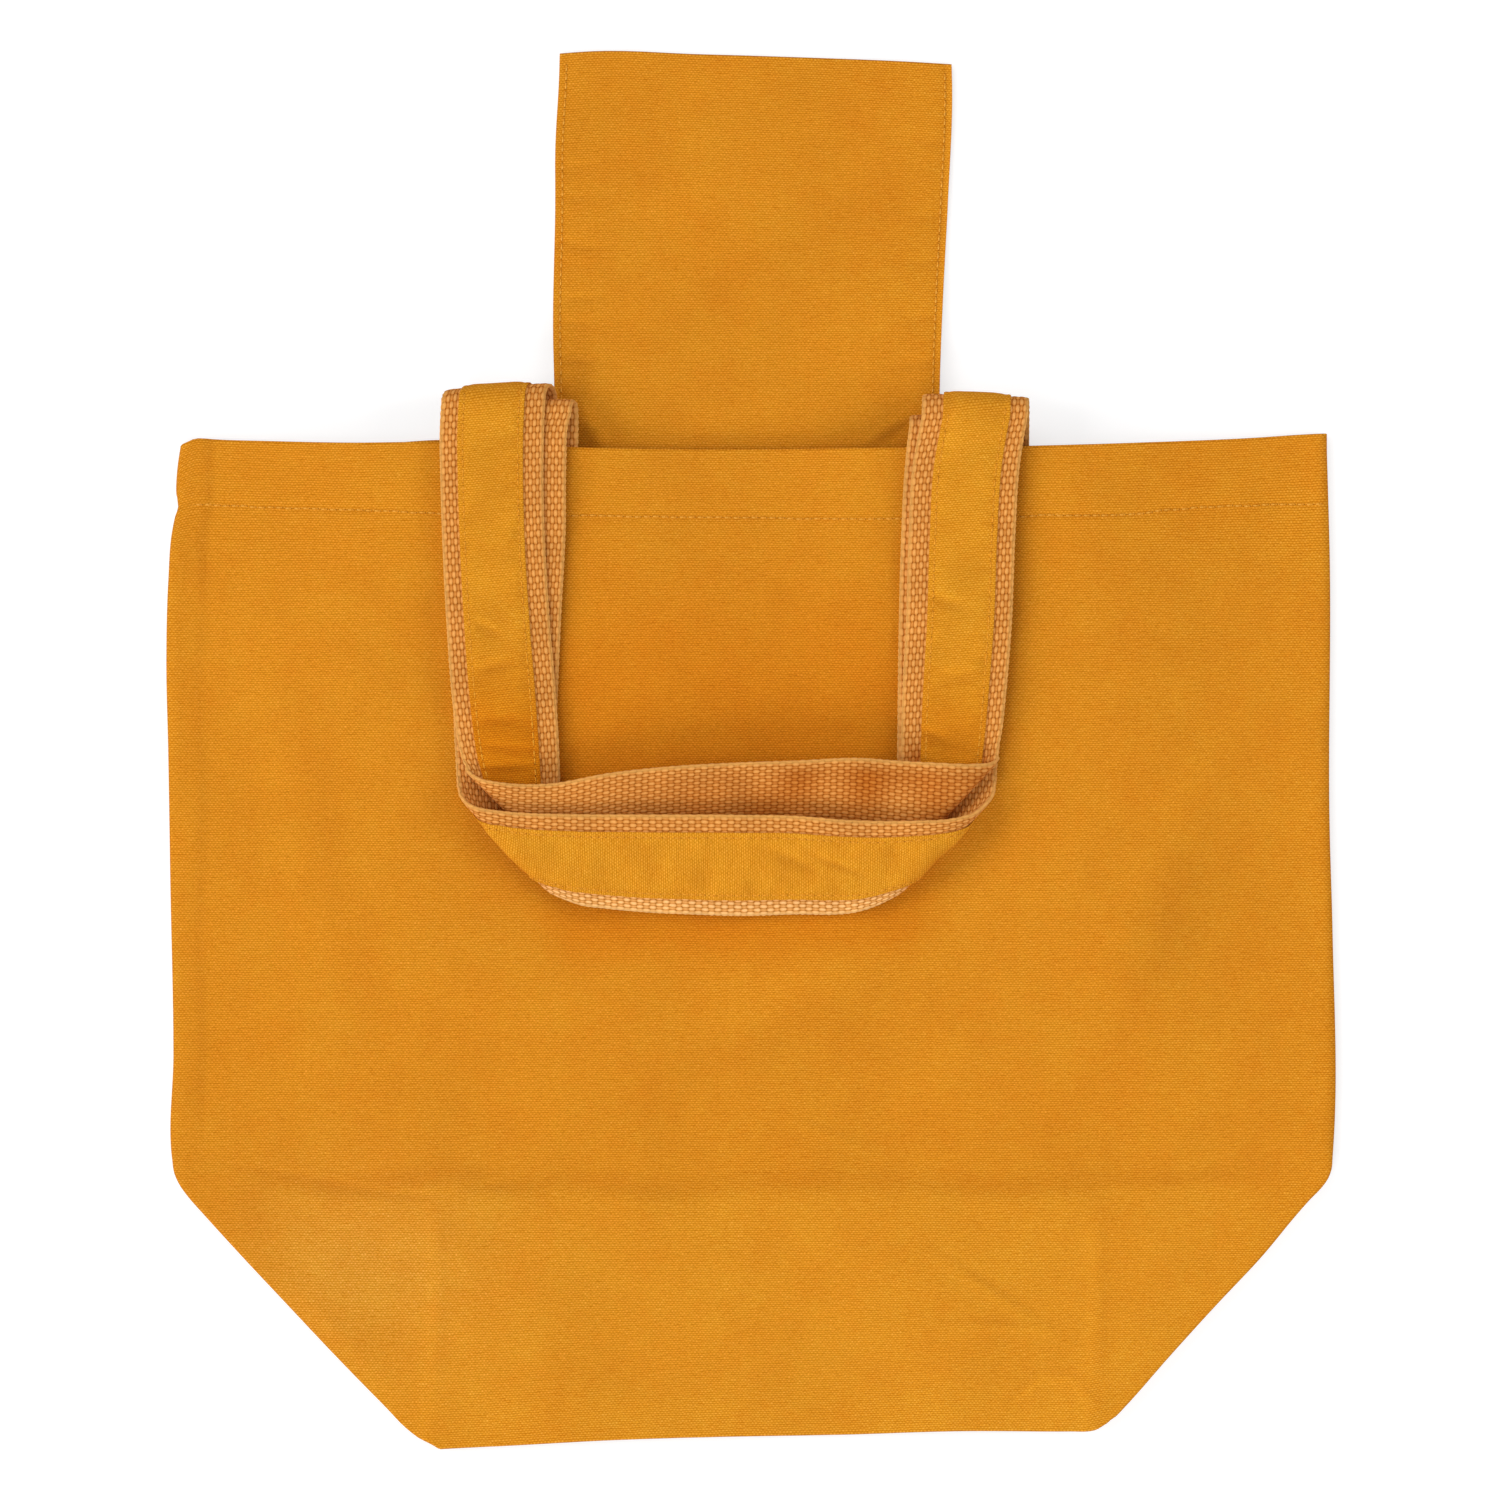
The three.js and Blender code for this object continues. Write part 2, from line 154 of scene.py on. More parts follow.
# Flap
FLAP_ROOT_Y = 82.0
FLAP_FOLD_Y = 245.4
FLAP_WIDE = 138.0
FLAP_LEFT = [(82, -69.4), (133, -69.4), (145, -69.7), (195, -69), (212, -69), (239, -67.6), (247, -67.4)]
FLAP_RIGHT = [(82, 67), (133, 67.3), (159, 68.3), (195, 70.1), (239, 71.6), (247, 71.4)]
FLAP_TOP = [(-68, 246.4), (-57, 247.2), (-18, 246.2), (18, 245.1), (53, 243.7), (72, 242.6)]
FLAP_Z = 3.05
FLAP_END_Z = 0.75
FLAP_SEWN = 2.0

# Ends of the handles: x of a strap's two edges in the hem and on top of its bend, and y of the bend
BEND_Z = 15.3
BACK_BEND = 5.0
BACK_LEFT_SLANT = (-0.9, 1.4)
BACK_RIGHT_SLANT = (-0.4, 0.8)
FRONT_BEND = 2.9
BACK_TAIL_LEFT, BACK_TOP_LEFT, BACK_LEFT_Y = (-105.1, -68.0), (-108.9, -72.2), 122.4
BACK_TAIL_RIGHT, BACK_TOP_RIGHT, BACK_RIGHT_Y = (98.8, 61.5), (98.2, 60.6), 119.2
FRONT_TAIL_LEFT, FRONT_TOP_LEFT, FRONT_LEFT_Y = (-98.0, -60.7), (-100.0, -62.8), 120.1
FRONT_TAIL_RIGHT, FRONT_TOP_RIGHT, FRONT_RIGHT_Y = (94.0, 57.0), (93.4, 56.2), 114.6
HEM_TAIL_Y = MOUTH_Y - HEM_DEPTH + 1
BACK_TAIL_Z = 5.6
FRONT_TAIL_Z = 12.4

# Strips sewn on the straps: shares of the strap's width, rows left bare at each end, stitches' margin
BACK_STRIP = (0.17, 0.8)
BACK_BARE_ROWS = 2
BACK_SEWN_FROM = 14
BACK_SEED = 61
FRONT_STRIP = (0.165, 0.835)
FRONT_BARE_ROWS = 44
FRONT_SEWN_FROM = 56
FRONT_SEED = 71
STRIP_LIFT = WEBBING / 2 + 0.42
SEW_INSET = 1.9

# Each row is a ruling of the strap: its outer edge, then its inner edge, from the top of the left
# strap, down round the arch and back to the top of the right strap.
BACK_RULINGS = [
    (-109.4, 113.1, 20.5, -72.6, 113.1, 20.5), (-109.2, 96, 21.09, -72.8, 96, 20.4),
    (-108.7, 79.5, 21.5, -72.5, 79.5, 20.2), (-107.1, 45.8, 21.4, -70.6, 45.8, 20),
    (-105, 17.5, 21.27, -68.3, 17.5, 19.9), (-103.4, 5.1, 20.56, -67.4, 2, 19.8),
    (-101.6, -3, 20.9, -66.9, -14.3, 19.6), (-100.3, -5.8, 22.2, -66.8, -27, 19.6),
    (-99.4, -7.6, 23.6, -67.8, -37.4, 20.2), (-96.4, -9.5, 25.9, -67.3, -40.2, 21.5),
    (-88.5, -11.3, 27.6, -60, -40.5, 21.2), (-71.9, -11.9, 28.5, -48, -39.2, 19.5),
    (-48.8, -8, 28.8, -32, -36.8, 18.3), (-28.3, -5.8, 29, -17.7, -35.6, 18),
    (-3.5, -4.4, 29, -1, -35, 17.9), (16.6, -3.7, 28.9, 14, -35, 18),
    (38.6, -2.8, 28.8, 28.3, -35.8, 18.4), (52.7, -3.8, 28.7, 39, -37.3, 19.2),
    (66, -4.5, 28.4, 46.5, -38.5, 20.3), (78, -4.9, 27.5, 51.5, -39.3, 21.2),
    (84.2, -4.5, 25.8, 53.6, -39.9, 21.2), (87, -3.6, 23.4, 54, -38.6, 20.1),
    (87.6, -1.2, 21.95, 53.3, -31, 19.6), (88.1, 2.4, 21.09, 53.1, -17.9, 19.6),
    (89, 7.5, 20.92, 53.1, -2, 19.7), (90.1, 17.5, 21.37, 53.5, 15, 19.9),
    (92.4, 45.8, 21.4, 55, 45, 20.1), (93.5, 74.5, 21.5, 55.9, 74.5, 20.2),
    (95.4, 102.3, 20.82, 57.6, 102.3, 20.4), (97, 112.5, 20.5, 59.5, 112.5, 20.5),
]
FRONT_RULINGS = [
    (-101.4, 114.9, 18.2, -64.1, 114.9, 18.2), (-102.1, 101.8, 18.2, -64.8, 101.8, 18.2),
    (-102.4, 75.6, 18.1, -65.1, 75.6, 18.1), (-103.8, 49.4, 18, -66.5, 49.4, 18),
    (-104.8, 28, 17.9, -67.5, 28, 17.9), (-104.4, 6, 18, -68.3, 5, 17.8),
    (-103.9, -3, 18.4, -68.6, -17.9, 17.6), (-103.5, -9.4, 19.6, -69, -35.6, 17.6),
    (-103, -13.3, 21.73, -69.9, -45.5, 18.2), (-102.1, -16.1, 24.37, -70.9, -49, 19.8),
    (-99.8, -18.6, 27.13, -70, -50.3, 21.3), (-96.3, -20, 29.08, -67, -51.9, 21.9),
    (-90.3, -21.1, 29.8, -60, -54.6, 21.4), (-81.4, -22, 30.2, -51.3, -55.8, 20.4),
    (-67.3, -22.5, 30.3, -38.9, -57, 19), (-38.9, -22.7, 29.9, -21.2, -57.9, 17.8),
    (-3.5, -22.8, 29.7, 0, -58.4, 17.5), (16.6, -23.2, 29.7, 17, -57.9, 17.6),
    (34.3, -24.6, 29.8, 29, -58, 18), (50.6, -25, 29.8, 37.2, -57.2, 18.8),
    (60.2, -24.8, 29.8, 42.3, -55.8, 19.7), (69, -24.4, 29.6, 47, -53.8, 20.6),
    (74.3, -23.5, 28.97, 49.8, -52.2, 20.8), (79.6, -21.8, 27.36, 52, -50.8, 20.5),
    (83.2, -18.9, 25.29, 53.2, -49.4, 19.6), (85.7, -16.1, 23.22, 53.5, -47.5, 18.4),
    (86.7, -11.9, 20.92, 53.1, -42.5, 17.7), (87.1, -6.5, 19, 52.4, -30, 17.6),
    (87.8, -1, 18.3, 52, -14, 17.7), (89.4, 17.5, 18, 52.1, 15, 17.9),
    (89.7, 38.8, 18, 52.4, 38.8, 18), (90.6, 74.2, 18.1, 53.3, 74.2, 18.1),
    (91.8, 97, 18.2, 54.4, 97, 18.2), (93, 110.5, 18.2, 55.7, 110.5, 18.2),
]

# Folds in the cloth: place, turn in degrees, half length, width and depth
STRIP_CREASES = [
    ((-93.1, 42.3), -25, 5, 1.6, 0.35), ((-88.5, 28.8), 15, 7, 1.8, 0.4),
    ((-88.5, 9.7), 0, 9, 1.8, 0.45), ((-85, 0), -5, 10, 1.6, 0.5), ((-86.7, -7.5), 4, 9, 1.5, 0.45),
    ((69, 51.5), -15, 6, 1.8, 0.4), ((63.7, 4.4), -20, 6, 1.7, 0.45), ((75, 25), 8, 7, 2.2, 0.3),
    ((15.6, -39.5), -24, 8, 1.8, 0.35), ((31, -40.8), -21, 9, 1.3, 0.4),
]
FLAP_CREASES = [
    ((-60.3, 115), -63, 13, 2.2, 1.2), ((-55, 108), -75, 8, 2, 0.7), ((50, 112.5), 33, 9, 1.5, 0.9),
    ((-62, 205), 3, 8, 1.5, 0.35), ((-62, 194.5), -4, 7, 1.4, 0.3), ((-61, 177.5), -8, 9, 1.6, 0.45),
    ((-62, 171), -3, 8, 1.4, 0.3), ((-61, 158.5), 5, 9, 1.5, 0.4), ((-62, 150), -5, 8, 1.5, 0.35),
    ((-61, 137), -6, 9, 1.8, 0.4), ((64, 215), -4, 6, 1.4, 0.25), ((63, 188), 4, 7, 1.5, 0.3),
    ((62, 172), -5, 8, 1.5, 0.3), ((62, 152), 6, 7, 1.5, 0.3), ((60, 136), 5, 9, 1.8, 0.35),
]
FRONT_CREASES = [
    ((-152, -153), -10, 28, 1.5, 0.45), ((-120, -158), -3, 20, 1.5, 0.4), ((-92, -155), 7, 20, 1.6, 0.35),
    ((86, -193), -34, 24, 1.5, -0.6), ((88, -205), -2, 17, 1.5, -0.5), ((100, -226), 40, 6, 1.5, -0.5),
    ((110, -223), -8, 6, 1.5, -0.5), ((118.7, -228.5), -50, 6, 1.5, -0.5),
    ((29, -137.5), -21, 14, 1.5, -0.4), ((-60, 92), 80, 12, 4, 0.3), ((150, -60), 65, 40, 9, 0.35),
    ((-150, -20), 100, 50, 9, 0.35), ((20, -100), 20, 45, 10, 0.3),
]

# Where the seams at the base's two ends show through the front
BASE_ENDS = (-109.7, 123.9)

# Unevenness: height, size and seed
FRONT_WAVES = [(0.6, 80, 3), (0.2, 28, 5), (0.06, 11, 8)]
FLAP_WAVES = [(0.22, 60, 41), (0.1, 21, 43)]

# Weave and stitches. A knot has its half width, half length and height.
WEFT_PITCH = 0.787
WARP_PITCH = 0.617
KNOT_LONG = 2.3
KNOT_WIDE = 1.25
BIG_KNOT = (0.82, 1.5, 1.0)
SMALL_KNOT = (0.66, 1.3, 0.6)
KNOT_HIGH = 0.09
SELVEDGE_WAVE = 0.13
STITCH_PITCH = 3.17
STITCH_LONG = 1.42
STITCH_SHOWN = 0.95
STITCH_WIDE = 0.3
STITCH_HIGH = 0.28
STITCH_LIFT = CANVAS / 2 + 0.05

# Colours, linear
WHITE = (1.0, 1.0, 1.0)
CANVAS_COLOUR = (0.7, 0.262, 0.013)
CANVAS_GAP_COLOUR = (0.48, 0.145, 0.0015)
CANVAS_CREST_COLOUR = (0.86, 0.38, 0.05)
WEBBING_GAP_COLOUR = (0.27, 0.058, 0.004)
WEBBING_COLOUR = (0.575, 0.19, 0.026)
WEBBING_CREST_COLOUR = (0.85, 0.4, 0.108)
SELVEDGE_COLOUR = (0.74, 0.36, 0.09)
HEM_THREAD_COLOUR = (0.86, 0.42, 0.06)
STRAP_THREAD_COLOUR = (0.84, 0.37, 0.035)
STRIP_TINT = (1.04, 1.12, 1.2)
# Painted shade where a stitch goes into its hole
PAINTED_HOLE_SHADE_COLOUR = (0.4, 0.12, 0.004)
CLOTH_GLOSS = 0.06

# What a full share adds to red, green and blue, as shares of the cloth's own colour: fading of the dye, and
# painted light and shade
# Painted shade in folds, seam marks and stitch grooves, and painted highlight on their ridges
PAINTED_SHADING_TINT = (1.0, 1.25, 1.5)
FADED_TINT = (0.0, 0.05, 0.65)
BASE_TINT = (0.035, 0.09, 0.18)
# Painted shade between the straps
PAINTED_STRAP_GAP_SHADE_TINT = (-0.03, -0.16, -0.38)
# Painted highlight on the front arch's lower edge, which faces the lamp below
PAINTED_HIGHLIGHT_TINT = (0.24, 0.5, 1.15)
# Painted shade in the back arch's hollow, behind the front arch
PAINTED_HOLLOW_SHADE_TINT = (-0.24, -0.42, -0.63)
# Painted shade on the back strips low down, beside the arch
PAINTED_LOW_STRIP_SHADE_TINT = (-0.13, -0.32, -0.7)


def smooth(t):
    t = np.clip(t, 0.0, 1.0)
    return t * t * (3 - 2 * t)


def hump(t):
    return np.exp(-(t**2))


def tinted(share, tint):
    """Factor on a cloth's colour at a share of a tint, for painted light and shade and for fading of the
    dye.
    """
    return 1 + share[..., None] * np.array(tint)


def through(points, at):
    """Height at each place of a smooth curve through (place, height) points, flat past its ends."""
    x, y = np.array(points, float).T
    slope = np.gradient(y, x)
    at = np.clip(at, x[0], x[-1])
    i = np.clip(np.searchsorted(x, at) - 1, 0, len(x) - 2)
    h = x[i + 1] - x[i]
    t = (at - x[i]) / h
    near = (1 + 2 * t) * (1 - t) ** 2 * y[i] + t * (1 - t) ** 2 * h * slope[i]
    far = t * t * (3 - 2 * t) * y[i + 1] + t * t * (t - 1) * h * slope[i + 1]
    return near + far


def ripple(x, y, size, seed):
    """Smooth seeded unevenness of about -1 to 1, with features of the given size."""
    rng = np.random.default_rng(seed)
    total = np.zeros(np.broadcast(x, y).shape)
    waves = 7
    for _ in range(waves):
        turn = rng.uniform(0, 2 * math.pi)
        length = size * rng.uniform(0.7, 1.6)
        phase = rng.uniform(0, 2 * math.pi)
        total = total + np.sin(2 * math.pi * (x * math.cos(turn) + y * math.sin(turn)) / length + phase)
    return total / math.sqrt(waves)


def ripples(x, y, waves):
    return sum(height * ripple(x, y, size, seed) for height, size, seed in waves)


def crease(x, y, place, turn, half_length, width, depth):
    """A short soft fold across a place: a valley with a low ridge beside it."""
    turn = math.radians(turn)
    along = (x - place[0]) * math.cos(turn) + (y - place[1]) * math.sin(turn)
    beside = (y - place[1]) * math.cos(turn) - (x - place[0]) * math.sin(turn)
    return depth * (0.7 * hump(beside / width - 1.7) - hump(beside / width)) * hump(along / half_length)


def creases(x, y, folds):
    return sum(crease(x, y, *fold) for fold in folds)


def run_along(points):
    """Distance of each point in a row from the first, by way of those between."""
    return np.concatenate([[0], np.cumsum(np.linalg.norm(np.diff(points, axis=0), axis=1))])


def cloth_uv(x, run):
    return np.stack([x, np.broadcast_to(run[:, None], x.shape)], 2)


def normals(mid):
    along = np.gradient(mid, axis=0)
    across = np.gradient(mid, axis=1)
    n = np.cross(across, along)
    return n / np.maximum(np.linalg.norm(n, axis=2, keepdims=True), 1e-9)


def new_piece(name, points, faces, uv, material, sharp=50, painted_light_and_wear=None):
    mesh = bpy.data.meshes.new(name)
    mesh.from_pydata((np.asarray(points) * MM).tolist(), [], [[int(i) for i in f] for f in faces])
    mesh.polygons.foreach_set("use_smooth", [True] * len(mesh.polygons))
    mesh.set_sharp_from_angle(angle=math.radians(sharp))
    corners = np.empty(len(mesh.loops), int)
    mesh.loops.foreach_get("vertex_index", corners)
    layer = mesh.uv_layers.new(name="weave")
    layer.uv.foreach_set("vector", np.asarray(uv, np.float32)[corners].ravel())
    # Point colours that multiply the cloth's colour: painted light and shade, and fading of the dye
    shade = mesh.attributes.new("painted_light_and_wear", "FLOAT_COLOR", "POINT")
    tone = np.ones((len(mesh.vertices), 4), np.float32)
    if painted_light_and_wear is not None:
        tone[:, :3] = painted_light_and_wear
    shade.data.foreach_set("color", tone.ravel())
    mesh.materials.append(material)
    piece = bpy.data.objects.new(name, mesh)
    scene.collection.objects.link(piece)
    return piece


def quads(rows, columns, first=0, flip=False):
    r, c = np.meshgrid(np.arange(rows - 1), np.arange(columns - 1), indexing="ij")
    a = (first + r * columns + c).ravel()
    faces = np.stack([a, a + 1, a + columns + 1, a + columns], 1)
    return faces[:, ::-1] if flip else faces


def sheet(name, mid, uv, painted_light_and_wear=None):
    """A closed canvas of even thickness about a grid of points."""
    rows, columns = mid.shape[:2]
    out = normals(mid) * CANVAS / 2
    count = rows * columns
    points = np.concatenate([(mid + out).reshape(-1, 3), (mid - out).reshape(-1, 3)])
    grid = np.arange(count).reshape(rows, columns)
    rim = np.concatenate([grid[0], grid[1:, -1], grid[-1, -2::-1], grid[-2:0:-1, 0]])
    following = np.roll(rim, -1)
    wall = np.stack([rim + count, following + count, following, rim], 1)
    faces = np.concatenate([quads(rows, columns), quads(rows, columns, count, True), wall])
    flat = uv.reshape(-1, 2)
    if painted_light_and_wear is not None:
        painted_light_and_wear = np.concatenate([painted_light_and_wear.reshape(-1, 3)] * 2)
    return new_piece(name, points, faces, np.concatenate([flat, flat]), canvas, painted_light_and_wear=painted_light_and_wear)


def loft(name, rings, uv, material, painted_light_and_wear=None):
    """A closed skin through rings of points, capped at both ends."""
    count, sides = rings.shape[:2]
    s, k = np.meshgrid(np.arange(count - 1), np.arange(sides), indexing="ij")
    near = (s * sides + k).ravel()
    beside = (s * sides + (k + 1) % sides).ravel()
    faces = np.stack([near, near + sides, beside + sides, beside], 1).tolist()
    faces.append(list(range(sides)))
    faces.append(list(range(count * sides - 1, (count - 1) * sides - 1, -1)))
    painted_light_and_wear = None if painted_light_and_wear is None else painted_light_and_wear.reshape(-1, 3)
    return new_piece(name, rings.reshape(-1, 3), faces, uv.reshape(-1, 2), material, painted_light_and_wear=painted_light_and_wear)


# Materials


class Nodes:
    """Short names for the nodes of one material."""

    def __init__(self, name):
        self.material = bpy.data.materials.new(name)
        self.material.use_nodes = True
        self.tree = self.material.node_tree
        self.tree.nodes.clear()

    def add(self, kind, **settings):
        node = self.tree.nodes.new(kind)
        for key, value in settings.items():
            setattr(node, key, value)
        return node

    def put(self, value, socket):
        if isinstance(value, bpy.types.NodeSocket):
            self.tree.links.new(value, socket)
        else:
            socket.default_value = value

    def math(self, operation, *values):
        node = self.add("ShaderNodeMath", operation=operation)
        for value, socket in zip(values, node.inputs):
            self.put(value, socket)
        return node.outputs[0]

    def plus(self, a, b):
        return self.math("ADD", a, b)

    def minus(self, a, b):
        return self.math("SUBTRACT", a, b)

    def times(self, a, b):
        return self.math("MULTIPLY", a, b)

    def steps(self, value, low, high):
        """0 to 1, smoothly, as the value goes from low to high."""
        node = self.add("ShaderNodeMapRange", interpolation_type="SMOOTHSTEP")
        self.put(value, node.inputs["Value"])
        node.inputs["From Min"].default_value = low
        node.inputs["From Max"].default_value = high
        return node.outputs["Result"]

    def mix(self, share, a, b, blend="MIX"):
        node = self.add("ShaderNodeMix", data_type="RGBA", blend_type=blend)
        self.put(share, node.inputs[0])
        self.put(a, node.inputs[6])
        self.put(b, node.inputs[7])
        return node.outputs[2]

    def vector(self, x, y, z=0.0):
        node = self.add("ShaderNodeCombineXYZ")
        for value, socket in zip((x, y, z), node.inputs):
            self.put(value, socket)
        return node.outputs[0]

    def noise(self, at, scale, detail=2.0, roughness=0.5):
        node = self.add("ShaderNodeTexNoise", noise_dimensions="3D")
        self.put(at, node.inputs["Vector"])
        node.inputs["Scale"].default_value = scale
        node.inputs["Detail"].default_value = detail
        node.inputs["Roughness"].default_value = roughness
        return node.outputs[0]

    def drift(self, *noise):
        """Noise about 0 instead of 0.5."""
        return self.minus(self.noise(*noise), 0.5)

    def weave(self):
        """Place in the flat cloth in millimetres, and its parts across and along the cloth."""
        at = self.add("ShaderNodeUVMap", uv_map="weave")
        parts = self.add("ShaderNodeSeparateXYZ")
        self.put(at.outputs[0], parts.inputs[0])
        return at.outputs[0], parts.outputs[0], parts.outputs[1]

    def apply_painted_light_and_wear(self, colour):
        # Multiplies a colour by the piece's point colours: painted light and shade, and fading of the dye
        painted_light_and_wear = self.add("ShaderNodeAttribute", attribute_name="painted_light_and_wear")
        return self.mix(1.0, colour, painted_light_and_wear.outputs["Color"], "MULTIPLY")

    def finish(self, colour, height, relief, roughness):
        bump = self.add("ShaderNodeBump")
        bump.inputs["Strength"].default_value = 1.0
        bump.inputs["Distance"].default_value = relief * MM
        self.put(height, bump.inputs["Height"])
        shader = self.add("ShaderNodeBsdfPrincipled")
        self.put(colour, shader.inputs["Base Color"])
        self.put(roughness, shader.inputs["Roughness"])
        self.put(bump.outputs[0], shader.inputs["Normal"])
        shader.inputs["Specular IOR Level"].default_value = CLOTH_GLOSS
        end = self.add("ShaderNodeOutputMaterial")
        self.put(shader.outputs[0], end.inputs[0])
        return self.material


def opaque(colour):
    return (*colour, 1.0)


def canvas_material(name, tint=WHITE):
    """Plain weave with thick wefts that show as ribs along U, over finer warps along V."""
    n = Nodes(name)
    at, u, v = n.weave()
    wander = n.drift(at, 0.06, 3.0)
    weft_shift = n.drift(n.vector(n.times(u, 0.35), v), 1.0, 2.0, 0.6)
    warp_shift = n.drift(n.vector(u, n.times(v, 0.35), 9.0), 1.2, 2.0, 0.6)
    row = n.plus(n.plus(n.math("DIVIDE", v, WEFT_PITCH), n.times(wander, 0.8)), weft_shift)
    column = n.plus(n.plus(n.math("DIVIDE", u, WARP_PITCH), n.times(wander, 0.7)), warp_shift)
    rib = n.math("SINE", n.times(row, math.pi))
    warp = n.math("SINE", n.times(column, math.pi))
    over = n.times(warp, n.math("SIGN", rib))
    crest = n.math("POWER", n.math("ABSOLUTE", rib), 0.7)
    height = n.times(crest, n.math("MULTIPLY_ADD", over, 0.3, 0.7))
    slub = n.drift(n.vector(n.times(u, 0.4), n.times(row, 0.9)), 1.0, 2.0, 0.6)
    height = n.plus(height, n.times(slub, 0.3))
    fuzz = n.noise(at, 3.0, 3.0, 0.7)
    lit = n.plus(height, n.times(n.minus(fuzz, 0.5), 0.6))
    lit = n.plus(lit, n.times(n.drift(at, 0.9, 2.0, 0.6), 0.5))
    dyes = (CANVAS_GAP_COLOUR, CANVAS_COLOUR, CANVAS_CREST_COLOUR)
    gap, base, top = [opaque(c * t for c, t in zip(dye, tint)) for dye in dyes]
    colour = n.mix(n.steps(lit, 0.0, 0.62), gap, base)
    colour = n.mix(n.steps(lit, 0.7, 1.15), colour, top)
    cloud = n.plus(n.noise(at, 0.011, 3.0, 0.55), n.times(n.noise(at, 0.07), 0.5))
    tone = n.math("MULTIPLY_ADD", n.minus(cloud, 0.75), 0.13, 1.0)
    mottle = n.plus(n.noise(at, 0.035, 3.0, 0.6), n.times(n.noise(at, 0.2, 2.0, 0.6), 0.6))
    hue = n.math("MULTIPLY_ADD", n.minus(mottle, 0.8), 0.22, 1.0)
    green = n.times(tone, hue)
    colour = n.mix(1.0, colour, n.vector(tone, green, n.times(green, hue)), "MULTIPLY")
    roughness = n.math("MULTIPLY_ADD", fuzz, 0.12, 0.82)
    return n.finish(n.apply_painted_light_and_wear(colour), height, 0.13, roughness)


def webbing_material(name):
    """Brick-like knots in rows along the strap, with paler selvedges."""
    n = Nodes(name)
    at, u, v = n.weave()
    wander = n.drift(at, 0.3)
    across = n.math("PINGPONG", n.plus(u, n.times(wander, 0.6)), KNOT_WIDE)
    along = n.math("PINGPONG", n.plus(v, n.times(wander, 0.9)), KNOT_LONG)
    aside = n.minus(KNOT_WIDE, across)
    behind = n.minus(KNOT_LONG, along)
    dome = 0.0
    for beside, ahead, (half_wide, half_long, high) in (
        (across, along, BIG_KNOT),
        (aside, behind, BIG_KNOT),
        (across, behind, SMALL_KNOT),
        (aside, along, SMALL_KNOT),
    ):
        far = n.math("POWER", n.math("DIVIDE", ahead, half_long), 2.6)
        wide = n.math("POWER", n.math("DIVIDE", beside, half_wide), 2.4)
        dome = n.math("MAXIMUM", dome, n.times(n.minus(n.minus(1.0, far), wide), high))
    height = n.math("POWER", dome, 0.6)
    fibre = n.drift(n.vector(n.times(u, 3.5), n.times(v, 0.9)), 1.6, 3.0, 0.65)
    lit = n.plus(height, n.times(fibre, 0.6))
    colour = n.mix(n.steps(lit, 0.05, 0.6), opaque(WEBBING_GAP_COLOUR), opaque(WEBBING_COLOUR))
    colour = n.mix(n.steps(lit, 0.5, 1.1), colour, opaque(WEBBING_CREST_COLOUR))
    from_edge = n.math("MINIMUM", u, n.minus(STRAP_WIDTH, u))
    colour = n.mix(n.times(n.steps(from_edge, 1.8, 0.3), 0.8), colour, opaque(SELVEDGE_COLOUR))
    tone = n.math("MULTIPLY_ADD", n.drift(at, 0.05, 3.0, 0.6), 0.5, 1.0)
    colour = n.mix(1.0, colour, n.vector(tone, tone, tone), "MULTIPLY")
    return n.finish(n.apply_painted_light_and_wear(colour), n.plus(height, n.times(fibre, 0.35)), 0.3, 0.9)


def thread_material(name, pale):
    """Twisted thread, rubbed pale in places, with painted shade where a stitch goes into its holes."""
    n = Nodes(name)
    at, u, v = n.weave()
    twist = n.math("SINE", n.times(n.plus(u, v), 9.0))
    colour = n.mix(n.steps(n.noise(at, 0.8, 3.0), 0.3, 0.7), opaque(CANVAS_COLOUR), opaque(pale))
    hole = n.steps(n.math("ABSOLUTE", v), STITCH_SHOWN, STITCH_SHOWN + 0.25)
    return n.finish(n.mix(hole, colour, opaque(PAINTED_HOLE_SHADE_COLOUR)), twist, 0.05, 0.7)


canvas = canvas_material("dyed canvas")
webbing = webbing_material("cotton webbing")
strip_canvas = canvas_material("strip canvas", STRIP_TINT)
hem_thread = thread_material("hem thread", HEM_THREAD_COLOUR)
strap_thread = thread_material("strap thread", STRAP_THREAD_COLOUR)

# Camera, light and floor

camera_data = bpy.data.cameras.new("camera")
camera_data.sensor_width = SENSOR
camera_data.lens = SENSOR * (CAMERA_HEIGHT - VIEW_LEVEL) / VIEW_WIDTH
camera_data.clip_end = 5 * CAMERA_HEIGHT * MM
camera = bpy.data.objects.new("camera", camera_data)
camera.location = (0.0, 0.0, CAMERA_HEIGHT * MM)
scene.collection.objects.link(camera)
scene.camera = camera
scene.view_settings.view_transform = "Standard"


def seen_directly(tree):
    """1 for rays from the camera or by way of gloss or glass, and 0 for the rest."""
    path = tree.nodes.new("ShaderNodeLightPath")
    total = path.outputs["Is Camera Ray"]
    for kind in ("Is Glossy Ray", "Is Transmission Ray"):
        add = tree.nodes.new("ShaderNodeMath")
        add.operation = "MAXIMUM"
        tree.links.new(total, add.inputs[0])
        tree.links.new(path.outputs[kind], add.inputs[1])
        total = add.outputs[0]
    return total


world = bpy.data.worlds.new("studio")
scene.world = world
world.use_nodes = True
tree = world.node_tree
back = tree.nodes["Background"]
back.inputs["Color"].default_value = opaque(WHITE)
level = tree.nodes.new("ShaderNodeMapRange")
level.inputs["To Min"].default_value = AMBIENT
level.inputs["To Max"].default_value = 1.0
tree.links.new(seen_directly(tree), level.inputs["Value"])
tree.links.new(level.outputs[0], back.inputs["Strength"])

